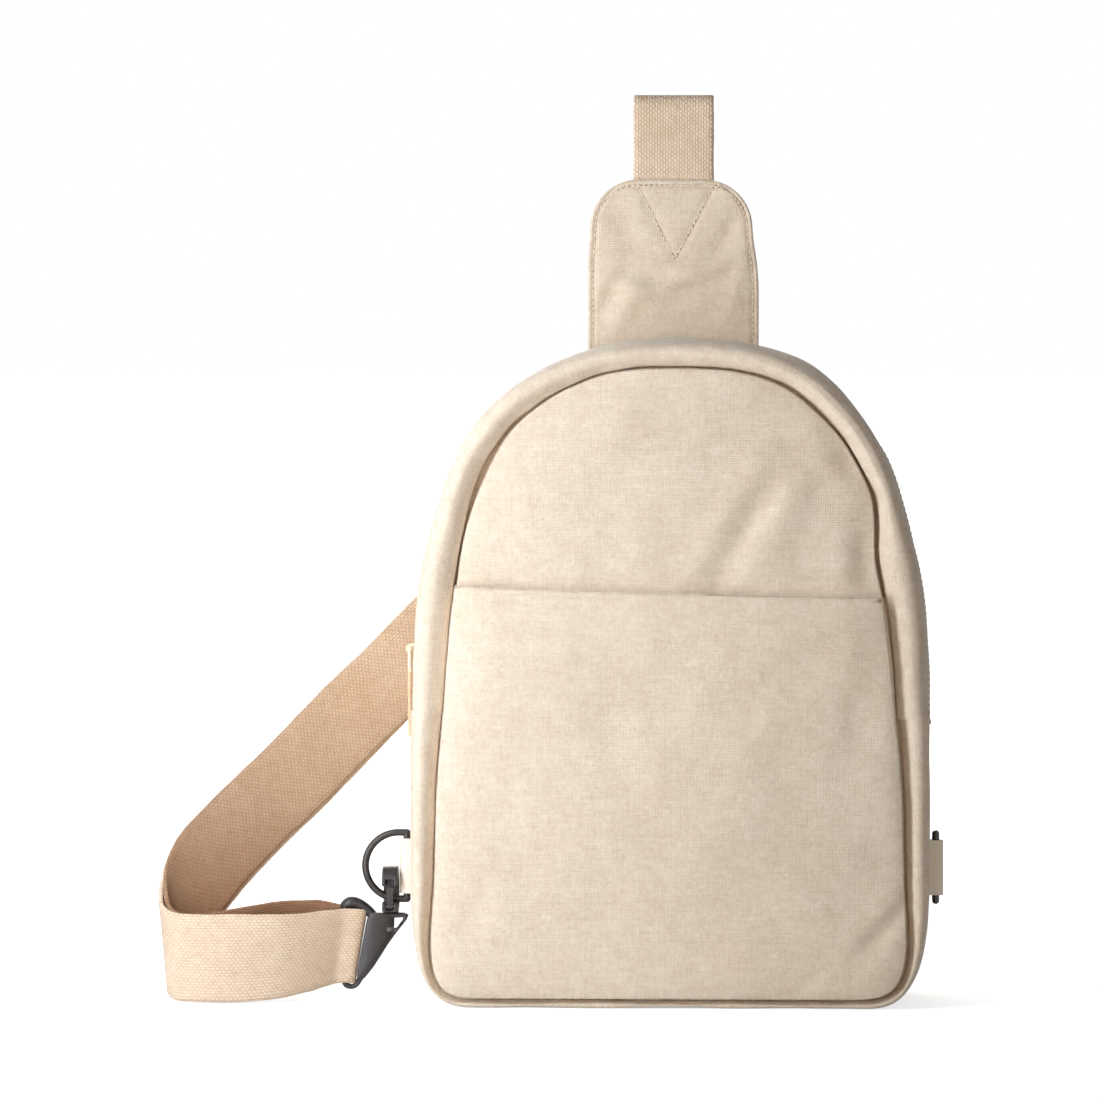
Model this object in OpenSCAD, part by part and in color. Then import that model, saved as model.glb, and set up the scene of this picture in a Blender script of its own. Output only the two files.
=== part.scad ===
// Canvas sling bag: a round-topped zipped body with a slip pocket, a shoulder
// tab, doubled webbing, D-rings and a swivel snap hook.
// +X is the wearer's view right, +Y points to the back, +Z is up. The origin is
// the middle of the bottom face, on the ground.

/* [Body] */
// Width across the straight sides
body_w = 215; // [204:1:226]
// Height without the shoulder tab
body_h = 277; // [268:1:288]
// Depth from the front panel to the back panel
body_d = 76; // [68:1:84]
// Radius of the bottom corners, seen from the front
corner_r = 28; // [25:1:34]
// Radius of the rolled edge between a panel and the gusset
rim_r = 10; // [8:0.5:11]
// Thickness of the canvas
canvas_t = 2; // [1.6:0.1:2.4]
// How far the cross seams, where the gussets meet, lie below the arch's centre
cross_seam_drop = 46.5; // [44:0.5:57]

/* [Slip pocket] */
// Height of the pocket's mouth
pocket_top_z = 173; // [150:1:185]
// Room between the pocket and the front panel
pocket_gap = 5; // [4.5:0.1:7]
// Thickness of the pocket's canvas
pocket_t = 1.6; // [1.2:0.1:2]
// Height of the hem along the mouth
hem_h = 11; // [8:0.5:16]
// Thickness of the turned hem
hem_t = 0.8; // [0.6:0.1:1.2]

/* [Seams] */
// Width of the binding over each inner seam
binding_w = 6; // [4:0.5:8]
// Thickness of the binding
binding_t = 1.5; // [1:0.1:2]

/* [Zipper] */
// Gap between the two gusset strips, over the teeth
slot_w = 11; // [10:0.2:13]
// Width of each tape
tape_w = 14; // [12:0.5:16]
// Thickness of each tape
tape_t = 0.8; // [0.6:0.1:1]
// Width of one row of teeth
teeth_w = 2.4; // [2:0.1:2.8]
// Height of the teeth
teeth_t = 2.4; // [2:0.1:2.8]
// Gap between the two rows, where the slider's post runs
row_gap = 2; // [1.8:0.1:2.2]
// Clearance of the slider around the teeth
slider_gap = 0.3; // [0.2:0.05:0.4]
// Length of the slider along the track
slider_len = 11; // [9:0.5:13]
// Width of the slider
slider_w = 9; // [8:0.2:9.6]
// Thickness of the slider's plates
plate_t = 1.2; // [1:0.1:1.5]
// How far the closed slider sits below the arch's centre
slider_drop = 21.5; // [17.5:0.5:23.5]
// Length of the pull, from its pivot to its end
pull_len = 48; // [36:1:52]
// Width of the pull
pull_w = 7; // [6.4:0.2:9]
// Diameter of the pull's cross bar
pull_bar_d = 1.6; // [1.4:0.1:1.8]

/* [Shoulder tab] */
// Width of the tab
tab_w = 70; // [62:1:78]
// Height of the tab above the body
tab_h = 67; // [58:1:76]
// Radius of the tab's top corners
tab_r = 20; // [14:1:24]
// Thickness of each ply of the tab
tab_t = 1.6; // [1.2:0.1:2]
// How far the tab reaches down the back panel
tab_lap = 24; // [16:1:34]

/* [Webbing] */
// Width of the webbing
strap_w = 34; // [30:1:36]
// Thickness of the webbing
strap_t = 2; // [1.6:0.1:2.2]
// Height of the webbing's top fold above the tab
fold_rise = 36; // [28:1:44]
// Inner radius of the top fold, to the middle of the webbing
fold_r = 4.2; // [3.8:0.1:5]
// Gap between the two plies of the strap
ply_gap = 1; // [0.8:0.1:1.2]

/* [Strap adjuster] */
// Diameter of the adjuster's bars
glide_bar_d = 3.4; // [3:0.1:3.6]
// Length of the adjuster along the strap
glide_len = 27; // [25:1:32]
// Thickness of the adjuster's side rails
glide_rail_t = 3; // [2.4:0.2:4]

/* [D-rings] */
// Height of the rings' middle above the ground
ring_z = 55.6; // [53:0.1:60]
// Radius of a ring's bow, to the middle of the wire
ring_r = 14; // [13.5:0.1:14.5]
// Length of a ring's straight arms
ring_arm = 3.5; // [3:0.1:4.2]
// Diameter of the ring's wire
ring_wire_d = 3; // [2.6:0.1:3.2]
// Distance of a ring's pivot from the side of the body
ring_reach = 3.6; // [3.4:0.1:4]
// Thickness of the canvas loops that hold the rings
loop_t = 1.3; // [1:0.1:1.4]
// Width of the canvas loops
loop_w = 23; // [18:0.5:23.5]

/* [Snap hook] */
// Diameter of the bar that the webbing wraps
bar_d = 4; // [3.4:0.1:4.4]
// Lean of that bar towards the body, in degrees
bar_lean = 9.5; // [7:0.5:12]
// Thickness of the hook's webbing loop
base_t = 5; // [4.4:0.2:6]
// Diameter of the swivel pin
pin_d = 3; // [2.6:0.1:3.4]
// Width of the hook's eye
eye_w = 8.4; // [8:0.1:9]
// Height of the hook's eye
eye_h = 13; // [12:0.5:14]
// Thickness of the hook's spine and nose
hook_t = 4; // [3.4:0.1:4.4]
// Width of the hook, across its spine
hook_w = 6.6; // [6:0.1:7]
// Diameter of the gate's hinge pin
gate_pin_d = 1.6; // [1.4:0.1:1.8]

/* [Hidden] */

$fn = 64;
eps = 0.01;
half_w = body_w / 2;
half_d = body_d / 2;

// The arch is a half circle that runs into the straight sides.
arch_r = half_w;
arch_c = body_h - arch_r;
cross_seam_z = arch_c - cross_seam_drop;

// Radii of the zipper's layers, from the arch's centre outwards
lay_gap = 0.05;
tape_r = arch_r - canvas_t - lay_gap - tape_t;
teeth_r = tape_r + tape_t / 2 - teeth_t / 2;
plate_in_r = teeth_r + teeth_t + slider_gap;
plate_out_r = plate_in_r + plate_t;
pin_play = 0.05;
slider_angle = asin(slider_drop / arch_r);
// The pull's pivot stands out so far that the pull hangs clear of the gusset.
pull_end_t = 2.6;
pull_clear = 0.9;
pivot_r = (half_w + pull_end_t / 2 + pull_clear) / cos(slider_angle);
slider_arc = slider_len / arch_r * 180 / PI;
// The zipper ends this far below the arch's centre, in degrees
zip_end_angle = slider_angle + slider_arc / 2 + 2;
stop_arc = 1;
// Canvas patches under the zipper's ends, and tapes behind the cross seams
patch_lap = 6;
patch_gap = 0.6;
seam_tape_h = 8;
bail_wall = 1;
bail_w = 3;

// The tab and the webbing lie behind the back panel.
sewn_len = 40;
tab_y = half_d;
web_y = tab_y + tab_t + strap_t / 2;
tab_top_z = body_h + tab_h;
fold_z = tab_top_z + fold_rise - fold_r - strap_t / 2;
back_y = web_y + 2 * fold_r;

// Strap behind the bag: straight down, one wide curve, then the diagonal run
diag_a = 44;
curve_r = 120;
curve_z = body_h + 27;
diag_x = -curve_r * (1 - cos(diag_a));
diag_z = curve_z - curve_r * sin(diag_a);

// The hook's bar, its lean and the swivel above it
bar_x = -half_w - 27;
bar_z = 22;
arm_d = 3.2;
bar_len = strap_w + arm_d + 1;
wrap_r = bar_d / 2 + 0.3 + strap_t / 2;
swivel_x = -half_w - 10.5;
wire_z = ring_z - sqrt(ring_r * ring_r - pow(swivel_x + half_w + ring_reach + ring_arm, 2));
eye_z = wire_z - ring_wire_d / 2 - 1.9;
collar_z = eye_z - 2.6;
barrel_h = 6;
barrel_d = 9;
barrel_z = collar_z - 0.3 - barrel_h;

ring_x = half_w + ring_reach;

// ---------- helpers ----------

// A section swept over the arch and down both sides to foot_z. The section is
// drawn with x measured from the outer surface and y towards the front.
module arch_run(foot_z) {
    translate([0, 0, arch_c]) rotate([90, 0, 0])
        rotate_extrude(angle = 180, $fn = 180) translate([arch_r, 0]) children();
    for (side = [0, 1]) mirror([side, 0, 0])
        translate([half_w, 0, foot_z]) linear_extrude(arch_c - foot_z)
            mirror([0, 1]) children();
}

// The zipper's own sweep: one circle, from end to end below the arch's centre
module zip_arc(low_angle) {
    translate([0, 0, arch_c]) rotate([0, low_angle, 0]) rotate([90, 0, 0])
        rotate_extrude(angle = 180 + 2 * low_angle, $fn = 180)
            translate([arch_r, 0]) children();
}

// The same section swept down the sides, round the corners and along the floor
module floor_run(top_z) {
    for (side = [0, 1]) mirror([side, 0, 0]) {
        translate([half_w, 0, corner_r]) linear_extrude(top_z - corner_r)
            mirror([0, 1]) children();
        translate([half_w - corner_r, 0, corner_r]) rotate([0, 90, 0]) rotate([90, 0, 0])
            rotate_extrude(angle = 90) translate([corner_r, 0]) children();
        rotate([0, 90, 0]) linear_extrude(half_w - corner_r) mirror([0, 1]) children();
    }
}

// Half of the gusset's section: flat from y = inner to the rolled edge
module gusset_half(inner) {
    flat_y = half_d - rim_r;
    translate([-canvas_t, inner]) square([canvas_t, flat_y - inner]);
    intersection() {
        translate([-rim_r, flat_y]) difference() {
            circle(rim_r);
            circle(rim_r - canvas_t);
        }
        translate([-rim_r, flat_y]) square(rim_r);
    }
}

// Outline of a panel, inset from the body's outline
module panel_shape(inset) {
    w = half_w - inset;
    r = corner_r - inset;
    translate([0, arch_c]) circle(arch_r - inset, $fn = 180);
    translate([-w, corner_r]) square([2 * w, arch_c - corner_r]);
    translate([-w + r, inset]) square([2 * (w - r), corner_r - inset + eps]);
    for (side = [-1, 1]) translate([side * (w - r), corner_r]) circle(r);
}

// A flat plate in the plane of the panels, from y0 towards the back
module plate(y0, thick) {
    translate([0, y0 + thick, 0]) rotate([90, 0, 0]) linear_extrude(thick) children();
}

// A rod between two points of the XZ plane
module rod(a, b, d) {
    v = b - a;
    translate([a[0], 0, a[1]]) rotate([0, atan2(v[0], v[1]), 0]) cylinder(h = norm(v), d = d);
}

function unit(v) = v / norm(v);
function station(p) = [p[0], p[1], p[2]];
function width_dir(p) = [sin(p[3]), 0, -cos(p[3])];
function heading(s, i) = unit(station(s[min(i + 1, len(s) - 1)]) - station(s[max(i - 1, 0)]));
function face_dir(s, i) = unit(cross(heading(s, i), width_dir(s[i])));
// The route shifted sideways, off the face of the webbing
function shifted(s, gap) = [
    for (i = [0 : len(s) - 1])
        let (p = station(s[i]) + gap * face_dir(s, i)) [p[0], p[1], p[2], s[i][3]]
];

// Stations with steps - 1 more between each pair, on a Catmull-Rom curve
function between(a, b, c, d, t) = 0.5 * (2 * b + (c - a) * t
    + (2 * a - 5 * b + 4 * c - d) * t * t + (3 * b - a - 3 * c + d) * t * t * t);
function smooth(s, steps, skip = 0) = let (n = len(s)) [
    for (i = [0 : n - 2], k = [0 : steps - 1]) if (i > 0 || k >= skip)
        between(s[max(i - 1, 0)], s[i], s[i + 1], s[min(i + 2, n - 1)], k / steps),
    s[n - 1]
];

// Flat webbing along stations [x, y, z, lean of its width from the vertical]
module ribbon(s, width, thick) {
    n = len(s);
    points = [
        for (i = [0 : n - 1])
            let (
                p = station(s[i]),
                w = width_dir(s[i]) * width / 2,
                f = face_dir(s, i) * thick / 2
            )
            each [p - w - f, p + w - f, p + w + f, p - w + f]
    ];
    sides = [
        for (i = [0 : n - 2], k = [0 : 3])
            let (a = 4 * i + k, b = 4 * i + (k + 1) % 4)
            each [[a, b, b + 4], [a, b + 4, a + 4]]
    ];
    caps = [[3, 2, 1, 0], [4 * n - 4, 4 * n - 3, 4 * n - 2, 4 * n - 1]];
    polyhedron(points, concat(sides, caps), convexity = 8);
}

// ---------- strap route ----------

tab_part = [
    [0, web_y, tab_top_z - sewn_len, 90],
    [0, web_y, tab_top_z, 90],
    for (k = [0 : 8]) [
        0,
        web_y + fold_r * (1 - cos(k * 22.5)),
        fold_z + fold_r * sin(k * 22.5),
        90
    ],
    [0, back_y, tab_top_z, 90],
    [0, back_y, curve_z + 8, 90]
];
curve_part = [
    for (k = [0 : 8]) let (a = diag_a * k / 8)
        [-curve_r * (1 - cos(a)), back_y, curve_z - curve_r * sin(a), 90 - a]
];
// Distance along the diagonal, and depth there
diagonal_part = [
    for (p = [[60, 0], [108, 0], [124, -2], [139, -6], [154, -11], [169, -17], [184, -22.5]])
        [
            diag_x - p[0] * sin(diag_a),
            back_y + p[1],
            diag_z - p[0] * cos(diag_a),
            90 - diag_a
        ]
];
// The low turn at the left, chosen by hand
turn_part = [
    [-half_w - 66, 19.5, 77, 46],
    [-half_w - 77, 13, 66, 43],
    [-half_w - 88, 6, 54, 36],
    [-half_w - 97, -1.5, 42.5, 26],
    [-half_w - 102.5, -9, 32.5, 15],
    [-half_w - 104, -16, 25, 8],
    [-half_w - 99.5, -22, 20, 3],
    [-half_w - 91, -25, 18.4, 1],
    [-half_w - 78, -26, 18, 0],
    [-half_w - 60, -22.5, 18.5, -1]
];
hook_part = [
    [-half_w - 49, -17, 19.3, -3],
    [-half_w - 39, -10, 20.8, -6.5],
    [bar_x - 5, -wrap_r - 0.8, 21.8, -bar_lean]
];
wrap_part = [
    for (k = [0 : 6])
        let (a = -90 + 30 * k)
        [bar_x + wrap_r * cos(a) * cos(bar_lean), wrap_r * sin(a),
            bar_z - wrap_r * cos(a) * sin(bar_lean), -bar_lean]
];
low_route = smooth(concat(diagonal_part, turn_part, hook_part), 3);
run_route = concat(tab_part, curve_part, low_route, wrap_part);

// The returning ply lies on the inner face of the same route.
glide_s = 64;
ply_shift = strap_t + ply_gap;
low_part = shifted(low_route, ply_shift);
// Stations of the low route from which the ply starts and where it bows away
ply_from = 6;
ply_to = 42;
glide_bar_y = back_y - strap_t / 2 - 0.6 - strap_t - 0.3 - glide_bar_d / 2;
glide_r = glide_bar_d / 2 + 0.3 + strap_t / 2;
loop_len = 14;
function on_diagonal(s, y) = [diag_x - s * sin(diag_a), y, diag_z - s * cos(diag_a), 90 - diag_a];
return_route = concat(
    [on_diagonal(glide_s + loop_len + 0.3, glide_bar_y)],
    [on_diagonal(glide_s + loop_len + 12, glide_bar_y + 0.3)],
    [for (i = [ply_from : ply_to]) low_part[i]],
    smooth([
        low_part[ply_to],
        [-half_w - 84, -20, 18.4, 0],
        [-half_w - 70, -15, 18.4, 0],
        [-half_w - 56, -2, 18.6, -1.5],
        [-half_w - 42, 4.5, 20.2, -5],
        [bar_x - 6, wrap_r + 0.9, 21.6, -bar_lean],
        [bar_x - 0.9, wrap_r + 0.1, bar_z, -bar_lean]
    ], 3, 1)
);

// ---------- body ----------

module front_panel() {
    color("wheat") plate(-half_d, canvas_t) panel_shape(rim_r);
}

module back_panel() {
    color("wheat") plate(half_d - canvas_t, canvas_t) panel_shape(rim_r);
}

module lower_gusset() {
    color("bisque") floor_run(cross_seam_z) {
        union() {
            gusset_half(0);
            mirror([0, 1]) gusset_half(0);
        }
    }
}

module zip_gusset_front() {
    color("bisque") arch_run(cross_seam_z) gusset_half(slot_w / 2);
}

module zip_gusset_back() {
    color("bisque") arch_run(cross_seam_z) mirror([0, 1]) gusset_half(slot_w / 2);
}

module pocket_shape(inset) {
    intersection() {
        panel_shape(rim_r + inset);
        translate([-body_w, 0]) square([2 * body_w, pocket_top_z]);
    }
}

module pocket_panel() {
    out_y = -half_d - pocket_gap - pocket_t;
    color("antiquewhite") difference() {
        plate(out_y, pocket_gap + pocket_t) pocket_shape(0);
        plate(out_y + pocket_t, pocket_gap + pocket_t) union() {
            pocket_shape(pocket_t);
            translate([-half_w + rim_r + pocket_t, pocket_top_z - 30])
                square([body_w - 2 * (rim_r + pocket_t), 40]);
        }
    }
}

module pocket_hem() {
    color("linen") translate([0, 0, pocket_top_z - hem_h])
        translate([-half_w + rim_r + pocket_t, -half_d - pocket_gap - pocket_t - hem_t, 0])
            cube([body_w - 2 * (rim_r + pocket_t), hem_t, hem_h]);
}

// Binding over the raw edges, inside a panel's seam
module binding(side) {
    y0 = side < 0 ? -half_d + canvas_t : half_d - canvas_t - binding_t;
    color("tan") plate(y0, binding_t) difference() {
        panel_shape(rim_r + 0.3);
        panel_shape(rim_r + 0.3 + binding_w);
    }
}

module front_binding() {
    binding(-1);
}

module back_binding() {
    binding(1);
}

// Tapes behind the cross seams, inside the gusset
module cross_seam_tapes() {
    color("tan") for (side = [0, 1]) mirror([side, 0, 0])
        translate([half_w - canvas_t - tape_t - binding_t, -half_d + rim_r,
            cross_seam_z - seam_tape_h / 2])
            cube([binding_t, body_d - 2 * rim_r, seam_tape_h]);
}

// ---------- zipper ----------

module zip_tape(side) {
    color("ivory") zip_arc(zip_end_angle + stop_arc) mirror([0, side < 0 ? 0 : 1])
        translate([tape_r - arch_r, row_gap / 2 + teeth_w]) square([tape_t, tape_w]);
}

module zip_tape_front() {
    zip_tape(-1);
}

module zip_tape_back() {
    zip_tape(1);
}

module zip_teeth(side) {
    color("ivory") zip_arc(zip_end_angle) mirror([0, side < 0 ? 0 : 1])
        translate([teeth_r - arch_r, row_gap / 2]) square([teeth_t, teeth_w]);
}

module zip_teeth_front() {
    zip_teeth(-1);
}

module zip_teeth_back() {
    zip_teeth(1);
}

// Stops that bridge both rows at the ends of the teeth
module zip_stops() {
    stop_w = row_gap + 2 * teeth_w;
    color("ivory") for (side = [0, 1]) mirror([side, 0, 0])
        translate([0, 0, arch_c]) rotate([0, zip_end_angle + stop_arc, 0]) rotate([90, 0, 0])
            rotate_extrude(angle = stop_arc, $fn = 180)
                translate([teeth_r, -stop_w / 2]) square([teeth_t, stop_w]);
}

// Canvas patches that close the slot between the cross seams and the zipper
module zip_end_tabs() {
    low_z = cross_seam_z - seam_tape_h / 2;
    top_z = arch_c - arch_r * sin(zip_end_angle + stop_arc) - patch_gap;
    color("bisque") for (side = [0, 1]) mirror([side, 0, 0])
        translate([half_w - canvas_t - tape_t, -slot_w / 2 - patch_lap, low_z])
            cube([tape_t, slot_w + 2 * patch_lap, top_z - low_z]);
}

// Turns a piece drawn along +X into place at the closed slider
module at_slider() {
    translate([0, 0, arch_c]) rotate([0, 180 - slider_angle, 0]) children();
}

module arc_band(r1, r2, width) {
    rotate([0, slider_arc / 2, 0]) rotate([90, 0, 0])
        rotate_extrude(angle = slider_arc, $fn = 180)
            translate([r1, -width / 2]) square([r2 - r1, width]);
}

module slider_body() {
    post_w = row_gap - 2 * slider_gap;
    under_out_r = teeth_r - slider_gap;
    color("beige") at_slider() {
        arc_band(plate_in_r, plate_out_r, slider_w);
        arc_band(under_out_r - plate_t, under_out_r, slider_w);
        arc_band(under_out_r - eps, plate_in_r + eps, post_w);
    }
}

module slider_bail() {
    bail_r = pull_bar_d / 2 + pin_play + bail_wall;
    color("beige") at_slider() difference() {
        union() {
            translate([pivot_r, 0, 0]) rotate([90, 0, 0])
                cylinder(h = bail_w, r = bail_r, center = true);
            translate([plate_out_r + 0.15, -bail_w / 2, -bail_r])
                cube([pivot_r - plate_out_r - 0.15, bail_w, 2 * bail_r]);
        }
        translate([pivot_r, 0, 0]) rotate([90, 0, 0])
            cylinder(h = 2 * bail_w, d = pull_bar_d + 2 * pin_play, center = true);
        translate([0, -bail_w, -bail_w])
            cube([plate_out_r, 2 * bail_w, 2 * bail_w]);
    }
}

pivot = [
    -pivot_r * cos(slider_angle),
    arch_c - pivot_r * sin(slider_angle)
];
link_len = 9;
pull_cap_h = 12;

// Metal link: a cross bar in the bail and two arms down to the cord
module pull_link() {
    arm_y = (pull_w - pull_bar_d) / 2;
    color("beige") translate([pivot[0], 0, pivot[1]]) {
        rotate([90, 0, 0]) cylinder(h = pull_w, d = pull_bar_d, center = true);
        for (side = [-1, 1]) translate([0, side * arm_y, -link_len])
            cylinder(h = link_len, d = pull_bar_d);
        translate([0, 0, -link_len]) rotate([90, 0, 0])
            cylinder(h = pull_w, d = pull_bar_d, center = true);
    }
}

// Cord that runs as a long loop from the link to the end cap
module pull_cord() {
    cord_d = 1.8;
    cord_len = pull_len - link_len - pull_cap_h;
    color("tan") for (side = [-1, 1])
        translate([pivot[0], side * 1.4, pivot[1] - link_len - cord_len - pull_bar_d / 2])
            cylinder(h = cord_len, d = cord_d);
}

module pull_end() {
    color("white")
        translate([pivot[0] - pull_end_t / 2, -pull_w / 2, pivot[1] - pull_len])
            cube([pull_end_t, pull_w, pull_cap_h - pull_bar_d / 2]);
}

// ---------- shoulder tab ----------

module tab_shape() {
    base_z = body_h - tab_lap;
    translate([-tab_w / 2, base_z]) square([tab_w, tab_top_z - tab_r - base_z]);
    translate([-tab_w / 2 + tab_r, base_z]) square([tab_w - 2 * tab_r, tab_top_z - base_z]);
    for (side = [-1, 1]) translate([side * (tab_w / 2 - tab_r), tab_top_z - tab_r]) circle(tab_r);
}

module tab_front() {
    color("antiquewhite") plate(tab_y, tab_t) tab_shape();
}

// The back ply closes on the front ply round the webbing's sewn end.
module tab_back() {
    color("antiquewhite") difference() {
        plate(tab_y + tab_t, strap_t + tab_t) tab_shape();
        translate([-strap_w / 2, tab_y, tab_top_z - sewn_len])
            cube([strap_w, tab_t + strap_t, 2 * sewn_len]);
    }
}

// ---------- webbing and adjuster ----------

module strap_run() {
    color("burlywood") ribbon(run_route, strap_w, strap_t);
}

module strap_return() {
    color("tan") ribbon(return_route, strap_w, strap_t);
}

// Moves a piece drawn round the Z axis onto the diagonal run
module on_strap(y) {
    p = on_diagonal(glide_s, y);
    translate([p[0], p[1], p[2]]) rotate([0, diag_a, 0]) children();
}

// The webbing's hemmed end, sewn round the adjuster's middle bar
module strap_end_loop() {
    color("tan") on_strap(glide_bar_y) {
        rotate([0, 90, 0]) difference() {
            cylinder(h = strap_w, r = glide_r + strap_t / 2, center = true);
            cylinder(h = strap_w + 1, r = glide_r - strap_t / 2, center = true);
        }
        translate([-strap_w / 2, -strap_t, -loop_len])
            cube([strap_w, 2 * strap_t, loop_len - glide_r]);
    }
}

module strap_adjuster() {
    bar_span = strap_w + 2 + 2 * glide_rail_t;
    outer_y = back_y + strap_t / 2 + 0.6 + glide_bar_d / 2 - glide_bar_y;
    rail_d = outer_y + glide_bar_d;
    color("dimgray") on_strap(glide_bar_y) {
        rotate([0, 90, 0]) cylinder(h = bar_span, d = glide_bar_d, center = true);
        for (z = [-1, 1]) translate([0, outer_y, z * (glide_len - glide_bar_d) / 2])
            rotate([0, 90, 0]) cylinder(h = bar_span, d = glide_bar_d, center = true);
        for (side = [-1, 1])
            translate([side * (bar_span - glide_rail_t) / 2 - glide_rail_t / 2,
                -glide_bar_d / 2, -glide_len / 2])
                cube([glide_rail_t, rail_d, glide_len]);
    }
}

// ---------- D-rings ----------

module ring_loop(side) {
    outer = ring_wire_d / 2 + 0.3 + loop_t;
    color("antiquewhite") mirror([side < 0 ? 1 : 0, 0, 0])
        translate([ring_x, 0, ring_z - loop_w / 2]) linear_extrude(loop_w) difference() {
            union() {
                circle(outer);
                translate([-ring_reach, -outer]) square([ring_reach, 2 * outer]);
            }
            circle(ring_wire_d / 2 + 0.3);
        }
}

module ring_loop_left() {
    ring_loop(-1);
}

module ring_loop_right() {
    ring_loop(1);
}

// A D-ring drawn with its straight bar on the Z axis and its bow along +X
module d_ring() {
    color("dimgray") {
        cylinder(h = 2 * ring_r, d = ring_wire_d, center = true);
        for (z = [-1, 1]) translate([0, 0, z * ring_r]) {
            sphere(d = ring_wire_d);
            rotate([0, 90, 0]) cylinder(h = ring_arm, d = ring_wire_d);
        }
        translate([ring_arm, 0, 0]) rotate([90, 0, 0]) rotate([0, 0, -90])
            rotate_extrude(angle = 180) translate([ring_r, 0]) circle(d = ring_wire_d, $fn = 32);
    }
}

module d_ring_left() {
    translate([-ring_x, 0, ring_z]) rotate([0, 0, 180]) d_ring();
}

module d_ring_right() {
    translate([ring_x, 0, ring_z]) rotate([0, 0, 90]) d_ring();
}

// ---------- snap hook ----------

// A point of the webbing loop, from the bar's middle: across it and along it
function from_bar(across, along) = [
    bar_x + across * cos(bar_lean) + along * sin(bar_lean),
    bar_z - across * sin(bar_lean) + along * cos(bar_lean)
];

module base_post(p) {
    translate([p[0], 0, p[1]]) rotate([90, 0, 0])
        cylinder(h = base_t, d = arm_d, center = true, $fn = 32);
}

// Webbing loop of the hook: bar, two arms, slanting web and swivel barrel
module hook_base() {
    arm_across = wrap_r + strap_t / 2 + 0.4 + arm_d / 2;
    top_corner = from_bar(arm_across, bar_len / 2);
    low_corner = from_bar(arm_across, -bar_len / 2);
    barrel_left = [swivel_x - barrel_d / 2 - 0.5, barrel_z + barrel_h / 2];
    far_corner = [swivel_x + barrel_d / 2 + 1.5, barrel_z + barrel_h - arm_d / 2 - 0.4];
    color("dimgray") difference() {
        union() {
            rod(from_bar(0, bar_len / 2), from_bar(0, -bar_len / 2), bar_d);
            hull() {
                base_post(from_bar(0, bar_len / 2));
                base_post(top_corner);
            }
            hull() {
                base_post(top_corner);
                base_post(barrel_left);
            }
            hull() {
                base_post(from_bar(0, -bar_len / 2));
                base_post(low_corner);
            }
            hull() {
                base_post(low_corner);
                base_post(barrel_left);
                base_post(far_corner);
            }
            translate([swivel_x, 0, barrel_z]) cylinder(h = barrel_h, d = barrel_d);
        }
        translate([swivel_x, 0, barrel_z - 1])
            cylinder(h = barrel_h + 2, d = pin_d + 2 * pin_play);
        translate([swivel_x, 0, barrel_z - 3]) cylinder(h = 3, d = barrel_d - 1);
    }
}

// Rivet on which the hook turns in its base
module swivel_pin() {
    color("silver") translate([swivel_x, 0, 0]) {
        translate([0, 0, barrel_z - 0.1]) cylinder(h = collar_z - barrel_z + 1.6, d = pin_d);
        translate([0, 0, barrel_z - 1.7]) cylinder(h = 1.6, d = pin_d + 3);
    }
}

gate_y = -eye_w / 2 - hook_t / 2;
gate_pin_z = eye_z + 0.2;

module hook_body() {
    out_w = eye_w + 2 * hook_t;
    top_z = eye_z + eye_h - eye_w / 2;
    color("dimgray") difference() {
        union() {
            translate([swivel_x, 0, collar_z]) cylinder(h = eye_z - collar_z, d = barrel_d - 2);
            translate([swivel_x - hook_w / 2, 0, 0]) rotate([90, 0, 90]) linear_extrude(hook_w)
                difference() {
                    union() {
                        translate([0, top_z]) circle(out_w / 2);
                        translate([-out_w / 2, eye_z - 2]) square([out_w, top_z - eye_z + 2]);
                    }
                    translate([0, top_z]) circle(eye_w / 2);
                    translate([-eye_w / 2, eye_z]) square([eye_w, top_z - eye_z]);
                    translate([-out_w, eye_z - 1.2]) square([out_w - eye_w / 2 + eps, top_z - eye_z + 1.2]);
                }
            translate([swivel_x, gate_y, gate_pin_z]) rotate([0, 90, 0])
                cylinder(h = hook_w, d = hook_t, center = true);
            translate([swivel_x - hook_w / 2, gate_y, eye_z - 2])
                cube([hook_w, hook_t / 2 + eps, 2]);
        }
        translate([swivel_x, 0, collar_z - 1]) cylinder(h = 2.6 + pin_play, d = pin_d);
        translate([swivel_x - hook_w, gate_y, gate_pin_z]) rotate([0, 90, 0])
            cylinder(h = 2 * hook_w, d = gate_pin_d);
        translate([swivel_x - hook_w / 2 + 1.6, -out_w, eye_z - 1.4])
            cube([hook_w - 3.2, out_w - eye_w / 2, eye_h]);
    }
}

// Sprung gate that closes the eye on its front side
module hook_gate() {
    gate_w = hook_w - 3.8;
    gate_h = eye_h - eye_w / 2 - 0.5;
    color("dimgray") difference() {
        union() {
            translate([swivel_x, gate_y, gate_pin_z]) rotate([0, 90, 0])
                cylinder(h = gate_w, d = hook_t - 1, center = true);
            translate([swivel_x - gate_w / 2, gate_y - 1, gate_pin_z])
                cube([gate_w, 2, gate_h]);
        }
        translate([swivel_x, gate_y, gate_pin_z]) rotate([0, 90, 0])
            cylinder(h = 2 * hook_w, d = gate_pin_d + 2 * pin_play, center = true);
    }
}

module gate_pin() {
    color("silver") translate([swivel_x, gate_y, gate_pin_z]) rotate([0, 90, 0])
        cylinder(h = hook_w, d = gate_pin_d, center = true);
}

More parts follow.
